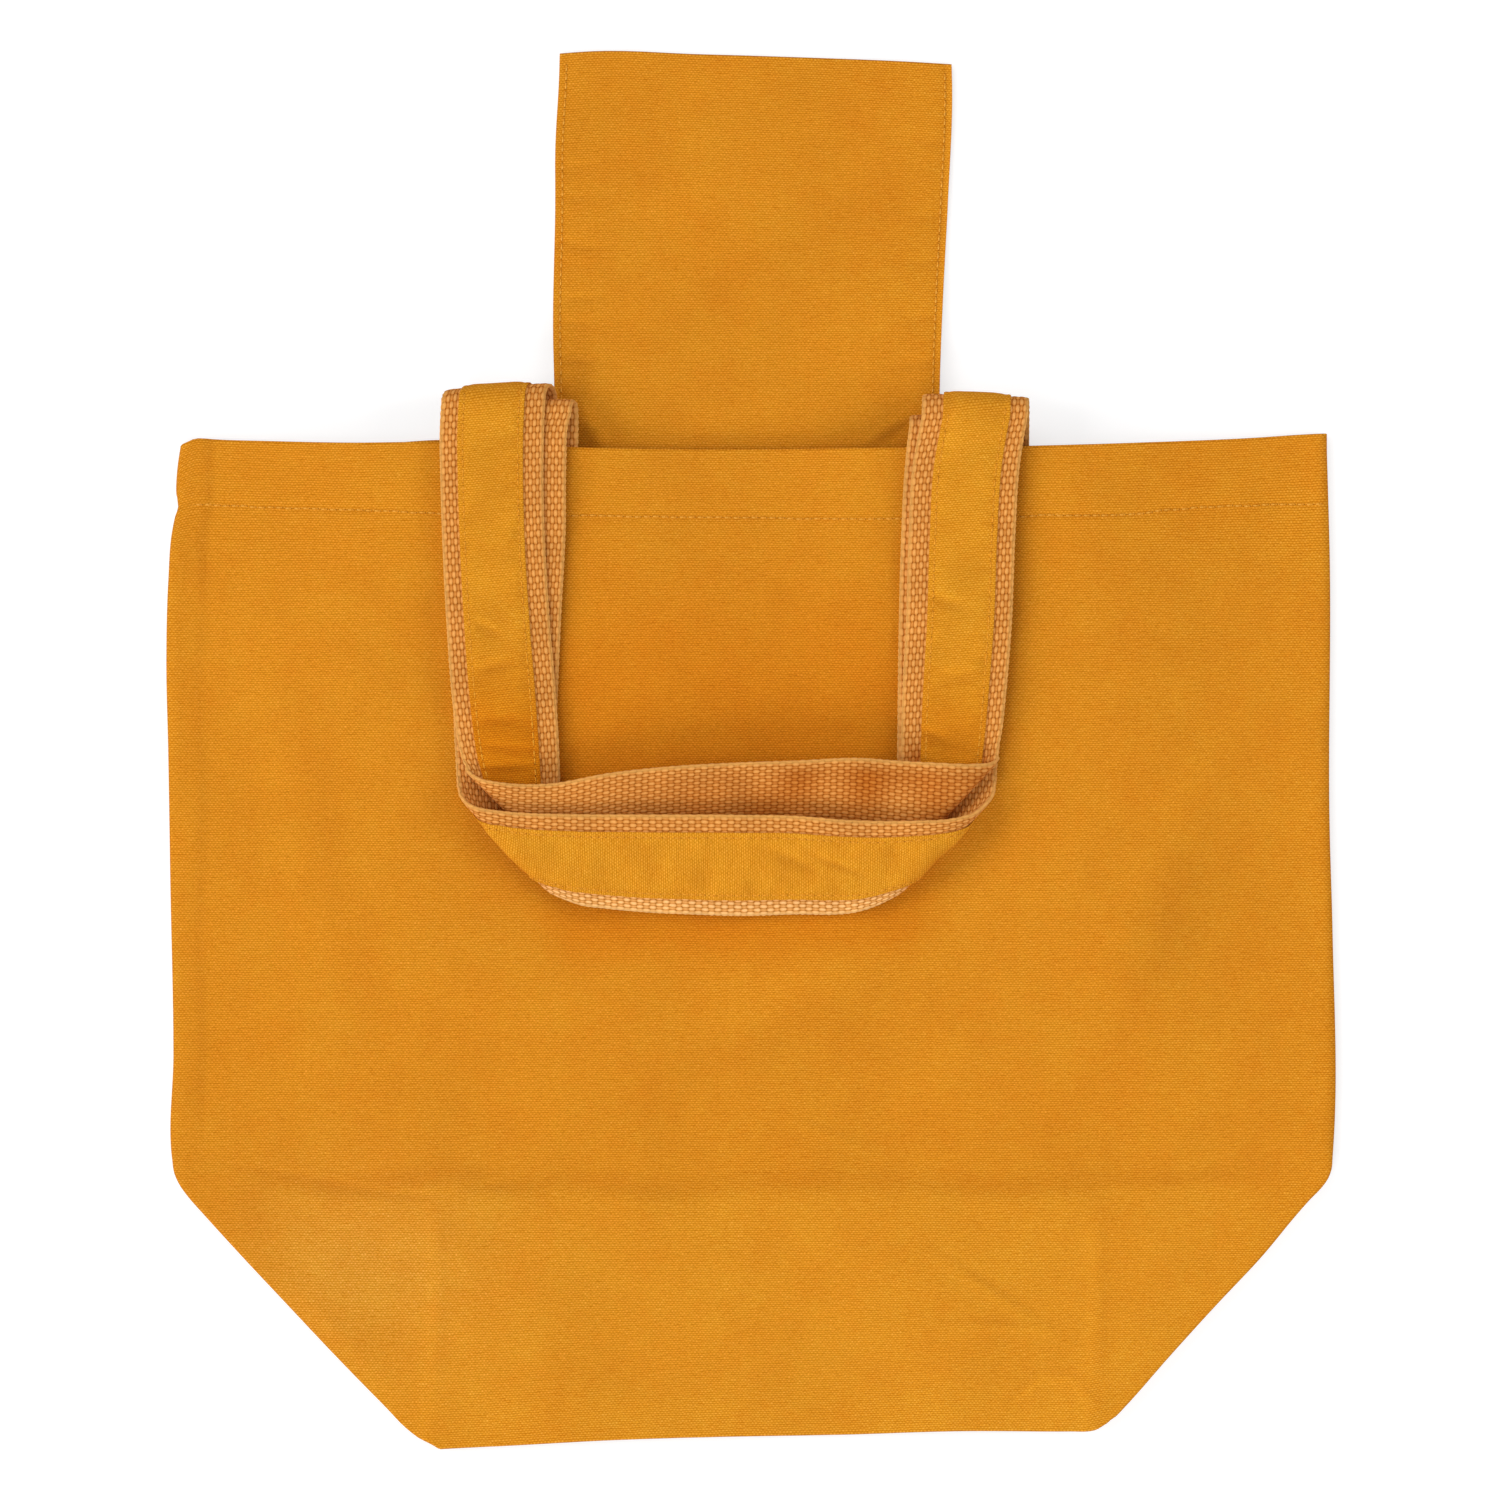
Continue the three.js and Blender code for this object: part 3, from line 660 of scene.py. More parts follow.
# Four soft boxes round the table, so that each raised edge has a soft shadow on both sides:
# name, place and size in metres, and power in watts
for name, place, size, power in (
    ("soft box left", (-3.4, 0.2, 2.4), 2.0, 69.0),
    ("soft box right", (1.3, 0.0, 0.85), 0.9, 7.2),
    ("soft box above", (-1.2, 3.0, 2.8), 2.0, 41.0),
    ("soft box below", (-1.4, -3.2, 2.4), 2.0, 78.0),
):
    light = bpy.data.lights.new(name, "AREA")
    light.shape = "SQUARE"
    light.size = size
    light.energy = power
    lamp = bpy.data.objects.new(name, light)
    lamp.location = place
    lamp.rotation_euler = (-lamp.location).to_track_quat("-Z", "Y").to_euler()
    lamp.visible_camera = False
    scene.collection.objects.link(lamp)

floor_mesh = bpy.data.meshes.new("floor")
corners = [(-1, -1), (1, -1), (1, 1), (-1, 1)]
floor_points = [(x * FLOOR_HALF * MM, y * FLOOR_HALF * MM, 0) for x, y in corners]
floor_mesh.from_pydata(floor_points, [], [(0, 1, 2, 3)])
floor = bpy.data.objects.new("floor", floor_mesh)
floor.location.z = -FLOOR_DROP * MM
scene.collection.objects.link(floor)
paper = Nodes("white paper")
diffuse = paper.add("ShaderNodeBsdfDiffuse")
diffuse.inputs["Color"].default_value = (FLOOR_GREY, FLOOR_GREY, FLOOR_GREY, 1.0)
glow = paper.add("ShaderNodeEmission")
paper.put(paper.times(seen_directly(paper.tree), FLOOR_GLOW), glow.inputs["Strength"])
both = paper.add("ShaderNodeAddShader")
paper.put(diffuse.outputs[0], both.inputs[0])
paper.put(glow.outputs[0], both.inputs[1])
end = paper.add("ShaderNodeOutputMaterial")
paper.put(both.outputs[0], end.inputs[0])
floor_mesh.materials.append(paper.material)

# Front and back panels


def front_height(x, y):
    from_side = smooth((RIM_INNER - np.abs(x)) / (RIM_INNER - FLAT_HALF))
    from_base = smooth((y - SLOPE_START_Y) / (SLOPE_END_Y - SLOPE_START_Y))
    sag = smooth((SAG_HALF - np.abs(x - SAG_MIDDLE_X)) / SAG_EASE) * smooth((y - SAG_START_Y) / SAG_LONG)
    return RIM_Z + (CROWN_Z - RIM_Z) * from_side * from_base - SAG * sag


def bag_outline(x, y):
    """Moves rows to the bag's uneven bottom and mouth."""
    low = (through(BOTTOM_EDGE, x) - BOTTOM_Y) * (1 - smooth((y - BOTTOM_Y) / 80))
    high = (through(TOP_EDGE, x) - MOUTH_Y) * smooth((y - MOUTH_Y + 45) / 43)
    return y + low + high


def outline_at(side, nominal):
    """Distance of the outline from the middle at each nominal row."""
    y = bag_outline(through(EDGES[side], nominal), nominal)
    return np.abs(through(EDGES[side], y))


def columns_of(side, y, step):
    """Places across half of a panel at each row, from left to right, and their gaps to the outline."""
    outline = outline_at(side, y)[:, None]
    count = int(PANEL_HALF / step) - 1
    share = np.arange(1, count + 1)[None, :] / count
    edge = outline - EDGE_STEPS[None, :]
    rest = (outline - EDGE_STEPS[-1]) * (1 - share)
    half = np.concatenate([edge, rest], 1)
    gap = np.concatenate([np.broadcast_to(EDGE_STEPS, edge.shape), EDGE_STEPS[-1] + outline * share], 1)
    return (-half, gap) if side < 0 else (half[:, ::-1], gap[:, ::-1])


def panel_rows(fold_down, spacing):
    """Nominal height, drop below the outer ply and run of cloth at each row, from the bottom to the hem."""
    low = BOTTOM_Y + EDGE_STEPS
    outer = np.concatenate([low, np.arange(low[-1] + spacing, MOUTH_Y - 4, spacing), MOUTH_Y - MOUTH_STEPS])
    turn = np.linspace(0, math.pi, FOLD_ROWS)
    y = np.concatenate([outer, MOUTH_Y + FOLD_RADIUS * np.sin(turn), MOUTH_Y - HEM_STEPS])
    drop = np.concatenate([0 * outer, FOLD_RADIUS * (1 - np.cos(turn)), 0 * HEM_STEPS + 2 * FOLD_RADIUS])
    run = np.concatenate([outer, MOUTH_Y + FOLD_RADIUS * turn, MOUTH_Y + FOLD_RADIUS * math.pi + HEM_STEPS])
    return y, drop * fold_down, run


def base_line(x):
    """Where the folded base has pressed a crease across the front."""
    return BASE_FOLD_Y + 1.2 * np.sin(x / 21.0) + 0.8 * np.sin(x / 9.0 + 1)


def side_seam_mark(x, y, width):
    """Where the left side's seam allowance shows through the front."""
    line = -194 - 0.6 * np.sin(y / 13.0) + 3.2 * smooth((y - 74) / 16)
    return hump((x - line) / width) * smooth((y - SLOPE_START_Y) / 20)


def front_unevenness(x, y):
    """Waves and creases of the front, and the hidden edges that show through it."""
    waves = ripples(x, y, FRONT_WAVES) + creases(x, y, FRONT_CREASES) - 0.3 * side_seam_mark(x, y, 1.8)
    line = base_line(x)
    within = smooth((x + 175) / 25) * smooth((140 - x) / 25)
    step = smooth((line + 3.5 - y) / 7) * smooth((y - BOTTOM_Y) / 14)
    waves += within * (1.3 * step - 0.5 * hump((y - line - 2) / 2.4))
    for place in BASE_ENDS:
        aside = x - place + 1.5 * np.sin(y / 17.0)
        waves += 0.22 * smooth((line - y) / 20) * hump(aside / 2.4)
    return waves


def front_fade_and_painted_shading(x, y):
    """Painted shade in the folds and along the marks that hidden edges and the hem stitches press into the
    front, with a painted highlight beside some of them; painted shade between the straps; a paler band
    below the base crease; and the dye faded in a patch low on the left.
    """
    line = base_line(x)
    within = smooth((x + 180) / 30) * smooth((185 - x) / 25)
    # Painted shade in the creases with a painted highlight on their ridges, and painted shade along the
    # base crease
    tone = 0.12 * creases(x, y, FRONT_CREASES) - 0.055 * within * hump((y - line - 4.2) / 2.8)
    # Painted highlight and painted shade beside the seams at the base's two ends
    for place in BASE_ENDS:
        aside = x - place - 1.5 * np.sin(y / 17.0)
        tone += smooth((line - y) / 20) * (0.03 * hump((aside + 4) / 3.5) - 0.035 * hump(aside / 2.0))
    # Painted shade along the side seam mark
    tone -= (0.05 + 0.05 * smooth((y - 50) / 20)) * side_seam_mark(x, y, 1.9)
    # Painted highlight beside the hem stitches and painted shade in their groove
    stitch = y - through(HEM_STITCH, x)
    tone += 0.03 * hump((stitch - 1.6) / 1.2) - 0.07 * hump((stitch + 0.3) / 0.6)
    paler = within * smooth((line + 3 - y) / 4)
    # Painted shade on the front between the straps, under the handles
    painted_shade_between_straps = smooth((x + 85) / 25) * smooth((75 - x) / 25) * smooth((85 - y) / 75) * smooth((y + 82) / 20)
    faded = hump((x + 140) / 48) * hump((y + 182) / 34)
    shade = tinted(tone, PAINTED_SHADING_TINT) * tinted(paler, BASE_TINT)
    return shade * tinted(painted_shade_between_straps, PAINTED_STRAP_GAP_SHADE_TINT) * tinted(faded, FADED_TINT)


def edge_roll(x, y, gap, side_drop):
    """How far the cloth turns in towards the folds at the sides and the bottom."""
    upright = smooth((y - BASE_FOLD_Y - 4) / 16)
    drop = FOLD_DROP + (side_drop - FOLD_DROP) * upright
    radius = FOLD_ROLL + (SIDE_ROLL - FOLD_ROLL) * upright
    reach = np.clip(1 - gap / radius, 0, 1)
    bottom = np.clip(1 - (y - through(BOTTOM_EDGE, x)) / FOLD_ROLL, 0, 1)
    return np.maximum(drop * (1 - np.sqrt(1 - reach**2)), FOLD_DROP * (1 - np.sqrt(1 - bottom**2)))


def on_front(x, y):
    """Height of the front panel's middle ply at a place well inside its outline."""
    return front_height(x, y) + front_unevenness(x, y)


def front_grid(side):
    nominal, drop, run = panel_rows(1, FRONT_STEP)
    x, gap = columns_of(side, nominal, FRONT_STEP)
    y = bag_outline(x, nominal[:, None])
    z = front_height(x, y) + front_unevenness(x, y) * smooth(gap / EDGE_CALM) - drop[:, None]
    z -= edge_roll(x, y, gap, FRONT_SIDE_DROP)
    return np.stack([x, y, z], 2), cloth_uv(x, run)


def back_grid(side):
    """Half of the back panel, whose mouth stands up a little past the front's beside the left handle."""
    nominal, drop, run = panel_rows(-1, BACK_STEP)
    x, gap = columns_of(side, nominal, BACK_STEP)
    past = smooth((nominal[:, None] - MOUTH_Y + 40) / 40) * (1.7 * hump((x + 106) / 22) - 0.6)
    y = bag_outline(x, nominal[:, None]) + past
    z = BACK_Z - drop[:, None] + edge_roll(x, y, gap, BACK_SIDE_DROP)
    return np.stack([x, y, z], 2), cloth_uv(x, run)


for side, word in SIDES:
    mid, uv = front_grid(side)
    half = sheet(f"front_panel_{word}", mid, uv, front_fade_and_painted_shading(mid[:, :, 0], mid[:, :, 1]))
    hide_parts("front_panel", "front_hem")
    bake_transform(half)

left_mid, left_uv = back_grid(-1)
right_mid, right_uv = back_grid(1)
back_mid = np.concatenate([left_mid, right_mid[:, 1:]], 1)
back_uv = np.concatenate([left_uv, right_uv[:, 1:]], 1)
back_piece = sheet("back_panel_cloth", back_mid, back_uv)
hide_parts("back_panel", "back_hem")
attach(back_piece, "back")

# Plies folded up inside


def folded_strip(name, edge_x, inner_x, y, radius):
    """A strip of cloth doubled lengthwise, folded at its edge."""
    turns = np.linspace(-math.pi / 2, math.pi / 2, 7)
    bend = [(0.8 + 0.2 * math.cos(t), radius * math.sin(t)) for t in turns]
    path = np.array([(0.0, -radius)] + bend + [(0.0, radius)])
    x = inner_x + (edge_x - inner_x) * path[:, :1]
    z = PLY_MIDDLE + path[:, 1:] + 0 * x
    y = np.broadcast_to(y, x.shape)
    run = run_along(path * [abs(edge_x[0] - inner_x[0]), 1])
    uv = np.stack([np.broadcast_to(run[:, None], x.shape), y], 2)
    return sheet(name, np.stack([x, y, z], 2), uv)


def base_fold():
    """Both halves of the base, tucked up inside and folded over at the top."""
    up = [(BOTTOM_Y + step, 0.62 * max(0.0, 1 - step / 1.5) ** 1.6) for step in CURL_STEPS]
    up += [(y, 0.0) for y in np.linspace(BOTTOM_Y + 4, BASE_FOLD_Y - PLY_HALF, 28)]
    rows = [(y, PLY_MIDDLE - PLY_HALF - curl) for y, curl in up]
    for turn in np.linspace(-math.pi / 2, math.pi / 2, FOLD_ROWS)[1:-1]:
        y = BASE_FOLD_Y - PLY_HALF + PLY_HALF * math.cos(turn)
        rows.append((y, PLY_MIDDLE + PLY_HALF * math.sin(turn)))
    rows = np.array(rows + [(y, PLY_MIDDLE + PLY_HALF + curl) for y, curl in up[::-1]])
    nominal = rows[:, :1]
    half = BASE_HALF - BASE_CLEAR
    even = np.linspace(-half, half, 60)[None, :]
    z = rows[:, 1:] + 0.06 * ripple(even, nominal, 30, 21)
    outlines = [outline_at(side, rows[:, 0])[:, None] for side in (-1, 1)]
    left, right = [np.minimum(outline - BASE_INSET, half) for outline in outlines]
    x = -left + (left + right) * (even + half) / (2 * half)
    y = bag_outline(x, nominal)
    gap = np.minimum(outlines[0] + x, outlines[1] - x)
    under_front = (z > PLY_MIDDLE) * np.exp((BOTTOM_Y - nominal) / 5) * smooth(gap / EDGE_CALM)
    z = z + under_front * front_unevenness(x, y)
    return sheet("base_cloth", np.stack([x, y, z], 2), cloth_uv(x, run_along(rows)))


base_piece = base_fold()
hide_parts("base_back", "base_front")
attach(base_piece, "back")


def gusset(name, side, panel, lip, inset):
    """A triangle of a folded-in corner, under the front (1) or on the back (-1), with a turned edge."""
    rows, columns = 34, 22
    low = BOTTOM_Y + inset
    up = np.linspace(low + 2, BASE_FOLD_Y - 0.5, rows)
    nominal = np.concatenate([low + LIP_OUT[-1] - LIP_OUT[::-1], up])
    outline = outline_at(side, nominal)[:, None]
    turn_at = outline - inset - LIP_OUT[-1]
    inner = np.minimum(turn_at - 0.8, BASE_HALF - 0.2)
    share = 1 - (1 - np.linspace(0, 1, columns)[None, :]) ** 2
    half = np.concatenate([inner + (turn_at - inner) * share, turn_at + LIP_OUT[None, 1:]], 1)
    row_drop = lip * np.concatenate([LIP_TURN[::-1], np.zeros(rows)])[:, None]
    column_drop = lip * np.concatenate([np.zeros(columns), LIP_TURN[1:]])[None, :]
    drop = np.maximum(row_drop, column_drop)
    flare = 0.35 * hump(np.maximum(turn_at - half, 0) / 1.5)
    y = bag_outline(side * half, nominal[:, None])
    z = PLY_MIDDLE + panel * (PLY_HALF + flare - drop)
    if panel > 0:
        z = z + front_unevenness(side * half, y) * smooth((outline - half) / EDGE_CALM) * (1 - drop / lip)
    return sheet(name, np.stack([side * half, y, z], 2), np.stack([half + column_drop, y], 2))


for side, word in SIDES:
    triangle = gusset(f"gusset_back_{word}_cloth", side, -1, *BACK_LIP)
    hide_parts(f"gusset_back_{word}")
    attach(triangle, "back")
    triangle = gusset(f"gusset_front_{word}_cloth", side, 1, *FRONT_LIP)
    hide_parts(f"gusset_front_{word}")
    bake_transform(triangle)
    y = np.linspace(BASE_FOLD_Y + 1, MOUTH_Y - HEM_DEPTH - 1, 60)
    outline = through(EDGES[side], y)
    edge = outline - side * SEAM_INSET
    inner = outline - side * SEAM_ALLOWANCE
    seam = folded_strip(f"side_seam_{word}_cloth", edge, inner, y, SIDE_SEAM_RADIUS)
    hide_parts(f"side_seam_{word}")
    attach(seam, "back")
    y = np.linspace(BOTTOM_Y + 6, BASE_FOLD_Y - 3, 24)
    edge = np.full(len(y), side * BASE_HALF)
    inner = edge - side * SEAM_ALLOWANCE
    seam = folded_strip(f"corner_seam_{word}_cloth", edge, inner, y, BASE_SEAM_RADIUS)
    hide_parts(f"corner_seam_{word}")
    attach(seam, "back")

# Flap


def flap_grid():
    """Two plies from the hem to the fold at the free end and back, drawn together by the side stitches."""
    outer = list(np.arange(FLAP_ROOT_Y, FLAP_FOLD_Y - 1.4, FLAP_STEP))
    outer += [FLAP_FOLD_Y - 0.8, FLAP_FOLD_Y - 0.2]
    rows = [(y, 0.0) for y in outer]
    for turn in np.linspace(-math.pi / 2, math.pi / 2, FOLD_ROWS):
        rows.append((FLAP_FOLD_Y + FOLD_RADIUS * math.cos(turn), FOLD_RADIUS * (1 + math.sin(turn))))
    rows = np.array(rows + [(y, 2 * FOLD_RADIUS) for y in outer[::-1]])
    nominal, lift = rows[:, :1], rows[:, 1:]
    inside = np.linspace(3.8, FLAP_WIDE - 3.8, 56)
    columns = np.concatenate([FLAP_EDGE_STEPS, inside, FLAP_WIDE - FLAP_EDGE_STEPS[::-1]])
    share = columns[None, :] / FLAP_WIDE
    left = through(FLAP_LEFT, nominal)
    x = left + (through(FLAP_RIGHT, nominal) - left) * share
    y = nominal + (through(FLAP_TOP, x) - FLAP_FOLD_Y - FOLD_RADIUS) * smooth((nominal - 150) / 95)
    z = FLAP_Z + (FLAP_END_Z - FLAP_Z) * smooth((y - 118) / 70) + 1.6 * hump((y - 107) / 16)
    folds = creases(x, y, FLAP_CREASES)
    rise = ripples(x, y, FLAP_WAVES) + folds
    sewn = np.minimum(share, 1 - share) * FLAP_WIDE
    z = z + lift + np.maximum(rise, -0.25) * smooth((y - 104) / 8)
    z = z - (lift - FOLD_RADIUS) * 0.5 * hump((sewn - FLAP_SEWN) / 1.4)
    # Painted shading: darker in the creases and valleys, lighter on the rises
    tone = 0.06 * rise + np.clip(0.17 * folds, -0.28, 0.06)
    # Painted highlight along the sewn edges and painted shade along their stitch lines
    tone += 0.05 * hump((sewn - 0.6) / 0.8) - 0.05 * hump((sewn - 2.4) / 0.7)
    return np.stack([x, y, z], 2), cloth_uv(x, run_along(rows)), tinted(tone, PAINTED_SHADING_TINT)


flap_mid, flap_uv, flap_painted_shading = flap_grid()
flap_piece = sheet("flap_cloth", flap_mid[:, ::-1], flap_uv[:, ::-1], flap_painted_shading[:, ::-1])
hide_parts("flap_lower_ply", "flap_upper_ply", "flap_root")
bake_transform(flap_piece)

# Handles


def bend_rulings(strap, tail, middle_y, radius, slant=(0, 0)):
    """A half turn from a strap's end in the bag up and over to its front. Ends give (outer x, inner x)."""
    rows = []
    for turn in np.linspace(-math.pi / 2, math.pi / 2, 11):
        share = 0.5 + 0.5 * math.sin(turn)
        outer = tail[0] + (strap[0] - tail[0]) * share
        inner = tail[1] + (strap[1] - tail[1]) * share
        lean = math.cos(turn)
        y, z = middle_y + radius * lean, BEND_Z + radius * math.sin(turn)
        rows.append((outer, y + slant[0] * lean, z, inner, y + slant[1] * lean, z))
    return rows


def tail_rulings(tail, places):
    return [(tail[0], y, z, tail[1], y, z) for y, z in places]


class Strap:
    """Webbing laid through rulings: dense points of its two edges and the run of cloth along each."""

    def __init__(self, rulings, bulge):
        rows = np.array(rulings, float)
        chord = np.linalg.norm(np.diff(rows[:, :3] + rows[:, 3:], axis=0), axis=1) / 2
        at = np.concatenate([[0], np.cumsum(np.maximum(chord, 0.2))])
        fine = np.linspace(0, at[-1], int(at[-1] / (STRAP_STEP / 4)))
        dense = np.stack([through(np.stack([at, column], 1), fine) for column in rows.T], 1)
        along = run_along((dense[:, :3] + dense[:, 3:]) / 2)
        self.length = along[-1]
        even = np.linspace(0, self.length, int(self.length / STRAP_STEP) + 1)
        both = np.stack([np.interp(even, along, column) for column in dense.T], 1)
        self.outer, self.inner = both[:, :3], both[:, 3:]
        self.runs = (run_along(self.outer), run_along(self.inner))
        self.bulge = bulge

    def surface(self, v):
        """Middle ply, normal and run of cloth at shares v across the strap, from outer to inner edge."""
        v = np.asarray(v, float)[None, :, None]
        mid = self.outer[:, None, :] * (1 - v) + self.inner[:, None, :] * v
        normal = -normals(mid)
        mid = mid + normal * (4 * v * (1 - v) * self.bulge * normal[:, :, 2:3])
        run = self.runs[0][:, None] * (1 - v[:, :, 0]) + self.runs[1][:, None] * v[:, :, 0]
        return mid, -normals(mid), run


def round_trip(top, low):
    """Across the upper face of a strap and back across its lower face."""
    return np.concatenate([top, low[:, ::-1]], 1)


def strap_uv(v, run):
    flat = np.stack([np.broadcast_to(v * STRAP_WIDTH, run.shape), run], 2)
    return round_trip(flat, flat)


def painted_highlight_on_front_arch(_x, y, _inward):
    """Painted highlight: the front arch's lower edge, which faces the lamp below, is painted paler."""
    return tinted(smooth((-44 - y) / 6), PAINTED_HIGHLIGHT_TINT)


def painted_shade_in_back_arch(x, y, inward):
    """Painted shade on the hollow face of the back arch behind the front arch, in patches, most of all at
    the right.
    """
    patches = 0.75 + 0.3 * ripple(x, y, 22, 91)
    deep = smooth((6 - y) / 10) * (0.2 + 0.8 * smooth((x + 70) / 90)) * smooth(inward / 6) * patches
    return tinted(np.clip(deep, 0, 1.3), PAINTED_HOLLOW_SHADE_TINT)


def webbing_piece(name, strap, toned=None):
    """Webbing with rounded selvedges, and lumps where its knots lie."""
    v = np.concatenate([[0, 0.004], np.linspace(0.0148, 0.9852, 67), [0.996, 1]])
    mid, normal, run = strap.surface(v)
    thick = WEBBING / 2 * np.clip(1 - np.abs(2 * v - 1) ** 14, 0.0, 1) ** 0.35
    thick = np.maximum(thick, 0.28)[None, :, None]
    beat = np.cos(math.pi * run / KNOT_LONG) * np.cos(math.pi * v * STRAP_WIDTH / KNOT_WIDE)
    lumps = KNOT_HIGH * beat[:, :, None]
    side = strap.inner - strap.outer
    side = side / np.linalg.norm(side, axis=1, keepdims=True)
    edge = np.exp(-v * 50) - np.exp(-(1 - v) * 50)
    wave = SELVEDGE_WAVE * edge * np.cos(2 * math.pi * run / KNOT_LONG)
    mid = mid - side[:, None, :] * wave[:, :, None]
    rings = round_trip(mid + normal * (thick + lumps), mid - normal * (thick - lumps))
    painted_light_and_wear = None
    # Painted light and shade from the toned function, by place on the strap
    if toned:
        inward = np.minimum(v, 1 - v) * STRAP_WIDTH
        painted_light_and_wear = toned(rings[:, :, 0], rings[:, :, 1], np.concatenate([inward, inward[::-1]]))
    return loft(name, rings, strap_uv(v, run), webbing, painted_light_and_wear)


def strip_puff(mid, run, v, edges, seed):
    """Lift of a strip between its two rows of stitches, and the puckers and folds in it."""
    low, high = edges
    place = (v - low) / (high - low)
    from_edge = np.minimum(place, 1 - place) * (high - low) * STRAP_WIDTH
    slack = 0.3 * smooth(from_edge / 6) - 0.18 * hump((from_edge - SEW_INSET) / 0.8)
    pucker = 0.2 * ripple(run, v * STRAP_WIDTH * 0.35, 5.5, seed) * hump((from_edge - 2.2) / 3.2)
    wave = 0.22 * ripple(run, v * STRAP_WIDTH * 0.4, 11, seed + 1) * smooth(from_edge / 5)
    folds = pucker + wave + 2.2 * creases(mid[:, :, 0], mid[:, :, 1], STRIP_CREASES)
    return np.maximum(slack + folds, -0.3), folds


def painted_shade_on_back_strips(x, y):
    """Painted shade on the back strips low down, beside the arch, most of all at the left."""
    return tinted(smooth((45 - y) / 45) * (0.85 - 0.2 * np.sign(x)), PAINTED_LOW_STRIP_SHADE_TINT)


def strip_piece(name, strap, face, edges, bare_rows, seed, toned=None):
    """Canvas strip on a strap's upper (1) or lower (-1) face, between two shares of its width."""
    share = 0.5 - 0.5 * np.cos(np.linspace(0, math.pi, 33))
    v = edges[0] + (edges[1] - edges[0]) * share
    mid, normal, run = strap.surface(v)
    puff, folds = strip_puff(mid, run, v[None, :], edges, seed)
    mid = mid + face * normal * (STRIP_LIFT + puff)[:, :, None]
    # Painted shade in the strip's folds and puckers, and a painted highlight on their ridges
    painted_light_and_wear = tinted(np.clip(0.18 * folds, -0.15, 0.08), PAINTED_SHADING_TINT)
    if toned:
        painted_light_and_wear = painted_light_and_wear * toned(mid[:, :, 0], mid[:, :, 1])
    thick = CANVAS / 2 * np.clip(1 - np.abs(2 * share - 1) ** 30, 0, 1) ** 0.5
    thick = np.maximum(thick, 0.14)[None, :, None]
    rings = round_trip(mid + normal * thick, mid - normal * thick)
    kept = slice(bare_rows, -bare_rows)
    painted_light_and_wear = round_trip(painted_light_and_wear, painted_light_and_wear)
    return loft(name, rings[kept], strap_uv(v, run)[kept], strip_canvas, painted_light_and_wear[kept])


def stitch_mesh(name, centres, directions, ups, thread):
    """One small rounded stitch at each centre, lying along its direction."""
    around, rings = 6, 5
    points, faces, uv = [], [], []
    for centre, direction, up in zip(centres, directions, ups):
        direction = direction / np.linalg.norm(direction)
        beside = np.cross(up, direction)
        beside = beside / np.linalg.norm(beside)
        up = np.cross(direction, beside)
        first = len(points)
        points.append(centre - direction * STITCH_LONG)
        uv.append((0.0, -STITCH_LONG))
        for ring in range(1, rings):
            turn = math.pi * ring / rings
            at = centre - direction * STITCH_LONG * math.cos(turn)
            full = math.sin(turn) ** 0.6
            for k in range(around):
                angle = 2 * math.pi * k / around
                width = STITCH_WIDE * math.cos(angle) * full
                points.append(at + beside * width + up * STITCH_HIGH * math.sin(angle) * full)
                uv.append((width, -STITCH_LONG * math.cos(turn)))
        points.append(centre + direction * STITCH_LONG)
        uv.append((0.0, STITCH_LONG))
        end = len(points) - 1
        for k in range(around):
            after = (k + 1) % around
            faces.append((first, first + 1 + after, first + 1 + k))
            for ring in range(rings - 2):
                a = first + 1 + ring * around
                faces.append((a + k, a + after, a + around + after, a + around + k))
            a = first + 1 + (rings - 2) * around
            faces.append((a + k, a + after, end))
    return new_piece(name, points, faces, np.array(uv), thread, 80)


def strip_stitches(name, strap, face, edges, seed, margin):
    """Two rows of stitches along a strip, each inside one of its edges."""
    centres, directions, ups = [], [], []
    inset = SEW_INSET / STRAP_WIDTH
    for v in (edges[0] + inset, edges[1] - inset):
        near = np.array([v - 0.01, v, v + 0.01])
        mid, normal, run = strap.surface(near)
        puff, _ = strip_puff(mid, run, near[None, :], edges, seed)
        path = (mid + face * normal * (STRIP_LIFT + CANVAS / 2 + puff)[:, :, None])[:, 1]
        for at in np.arange(margin, strap.length - margin, STITCH_PITCH):
            i = int(np.searchsorted(run[:, 1], at))
            if 1 < i < len(path) - 2:
                centres.append(path[i])
                directions.append(path[i + 1] - path[i - 1])
                ups.append(face * normal[i, 1])
    return stitch_mesh(name, centres, directions, ups, strap_thread)


# The back handle comes up inside the back hem, and is draped over the front hem.
left_bend = bend_rulings(BACK_TOP_LEFT, BACK_TAIL_LEFT, BACK_LEFT_Y, BACK_BEND, BACK_LEFT_SLANT)
right_bend = bend_rulings(BACK_TOP_RIGHT, BACK_TAIL_RIGHT, BACK_RIGHT_Y, BACK_BEND, BACK_RIGHT_SLANT)
back_strap = Strap(left_bend + BACK_RULINGS + right_bend[::-1], bulge=0.5)
back_loop = webbing_piece("back_handle_webbing", back_strap, painted_shade_in_back_arch)
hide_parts("back_webbing_loop", "back_bend_left", "back_bend_right")
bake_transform(back_loop)
back_strip = strip_piece(
    "back_handle_strip", back_strap, 1, BACK_STRIP, BACK_BARE_ROWS, BACK_SEED, painted_shade_on_back_strips)
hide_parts("back_strip_loop")
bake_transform(back_strip)
back_stitches = strip_stitches("back_handle_stitches", back_strap, 1, BACK_STRIP, BACK_SEED, BACK_SEWN_FROM)
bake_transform(back_stitches)

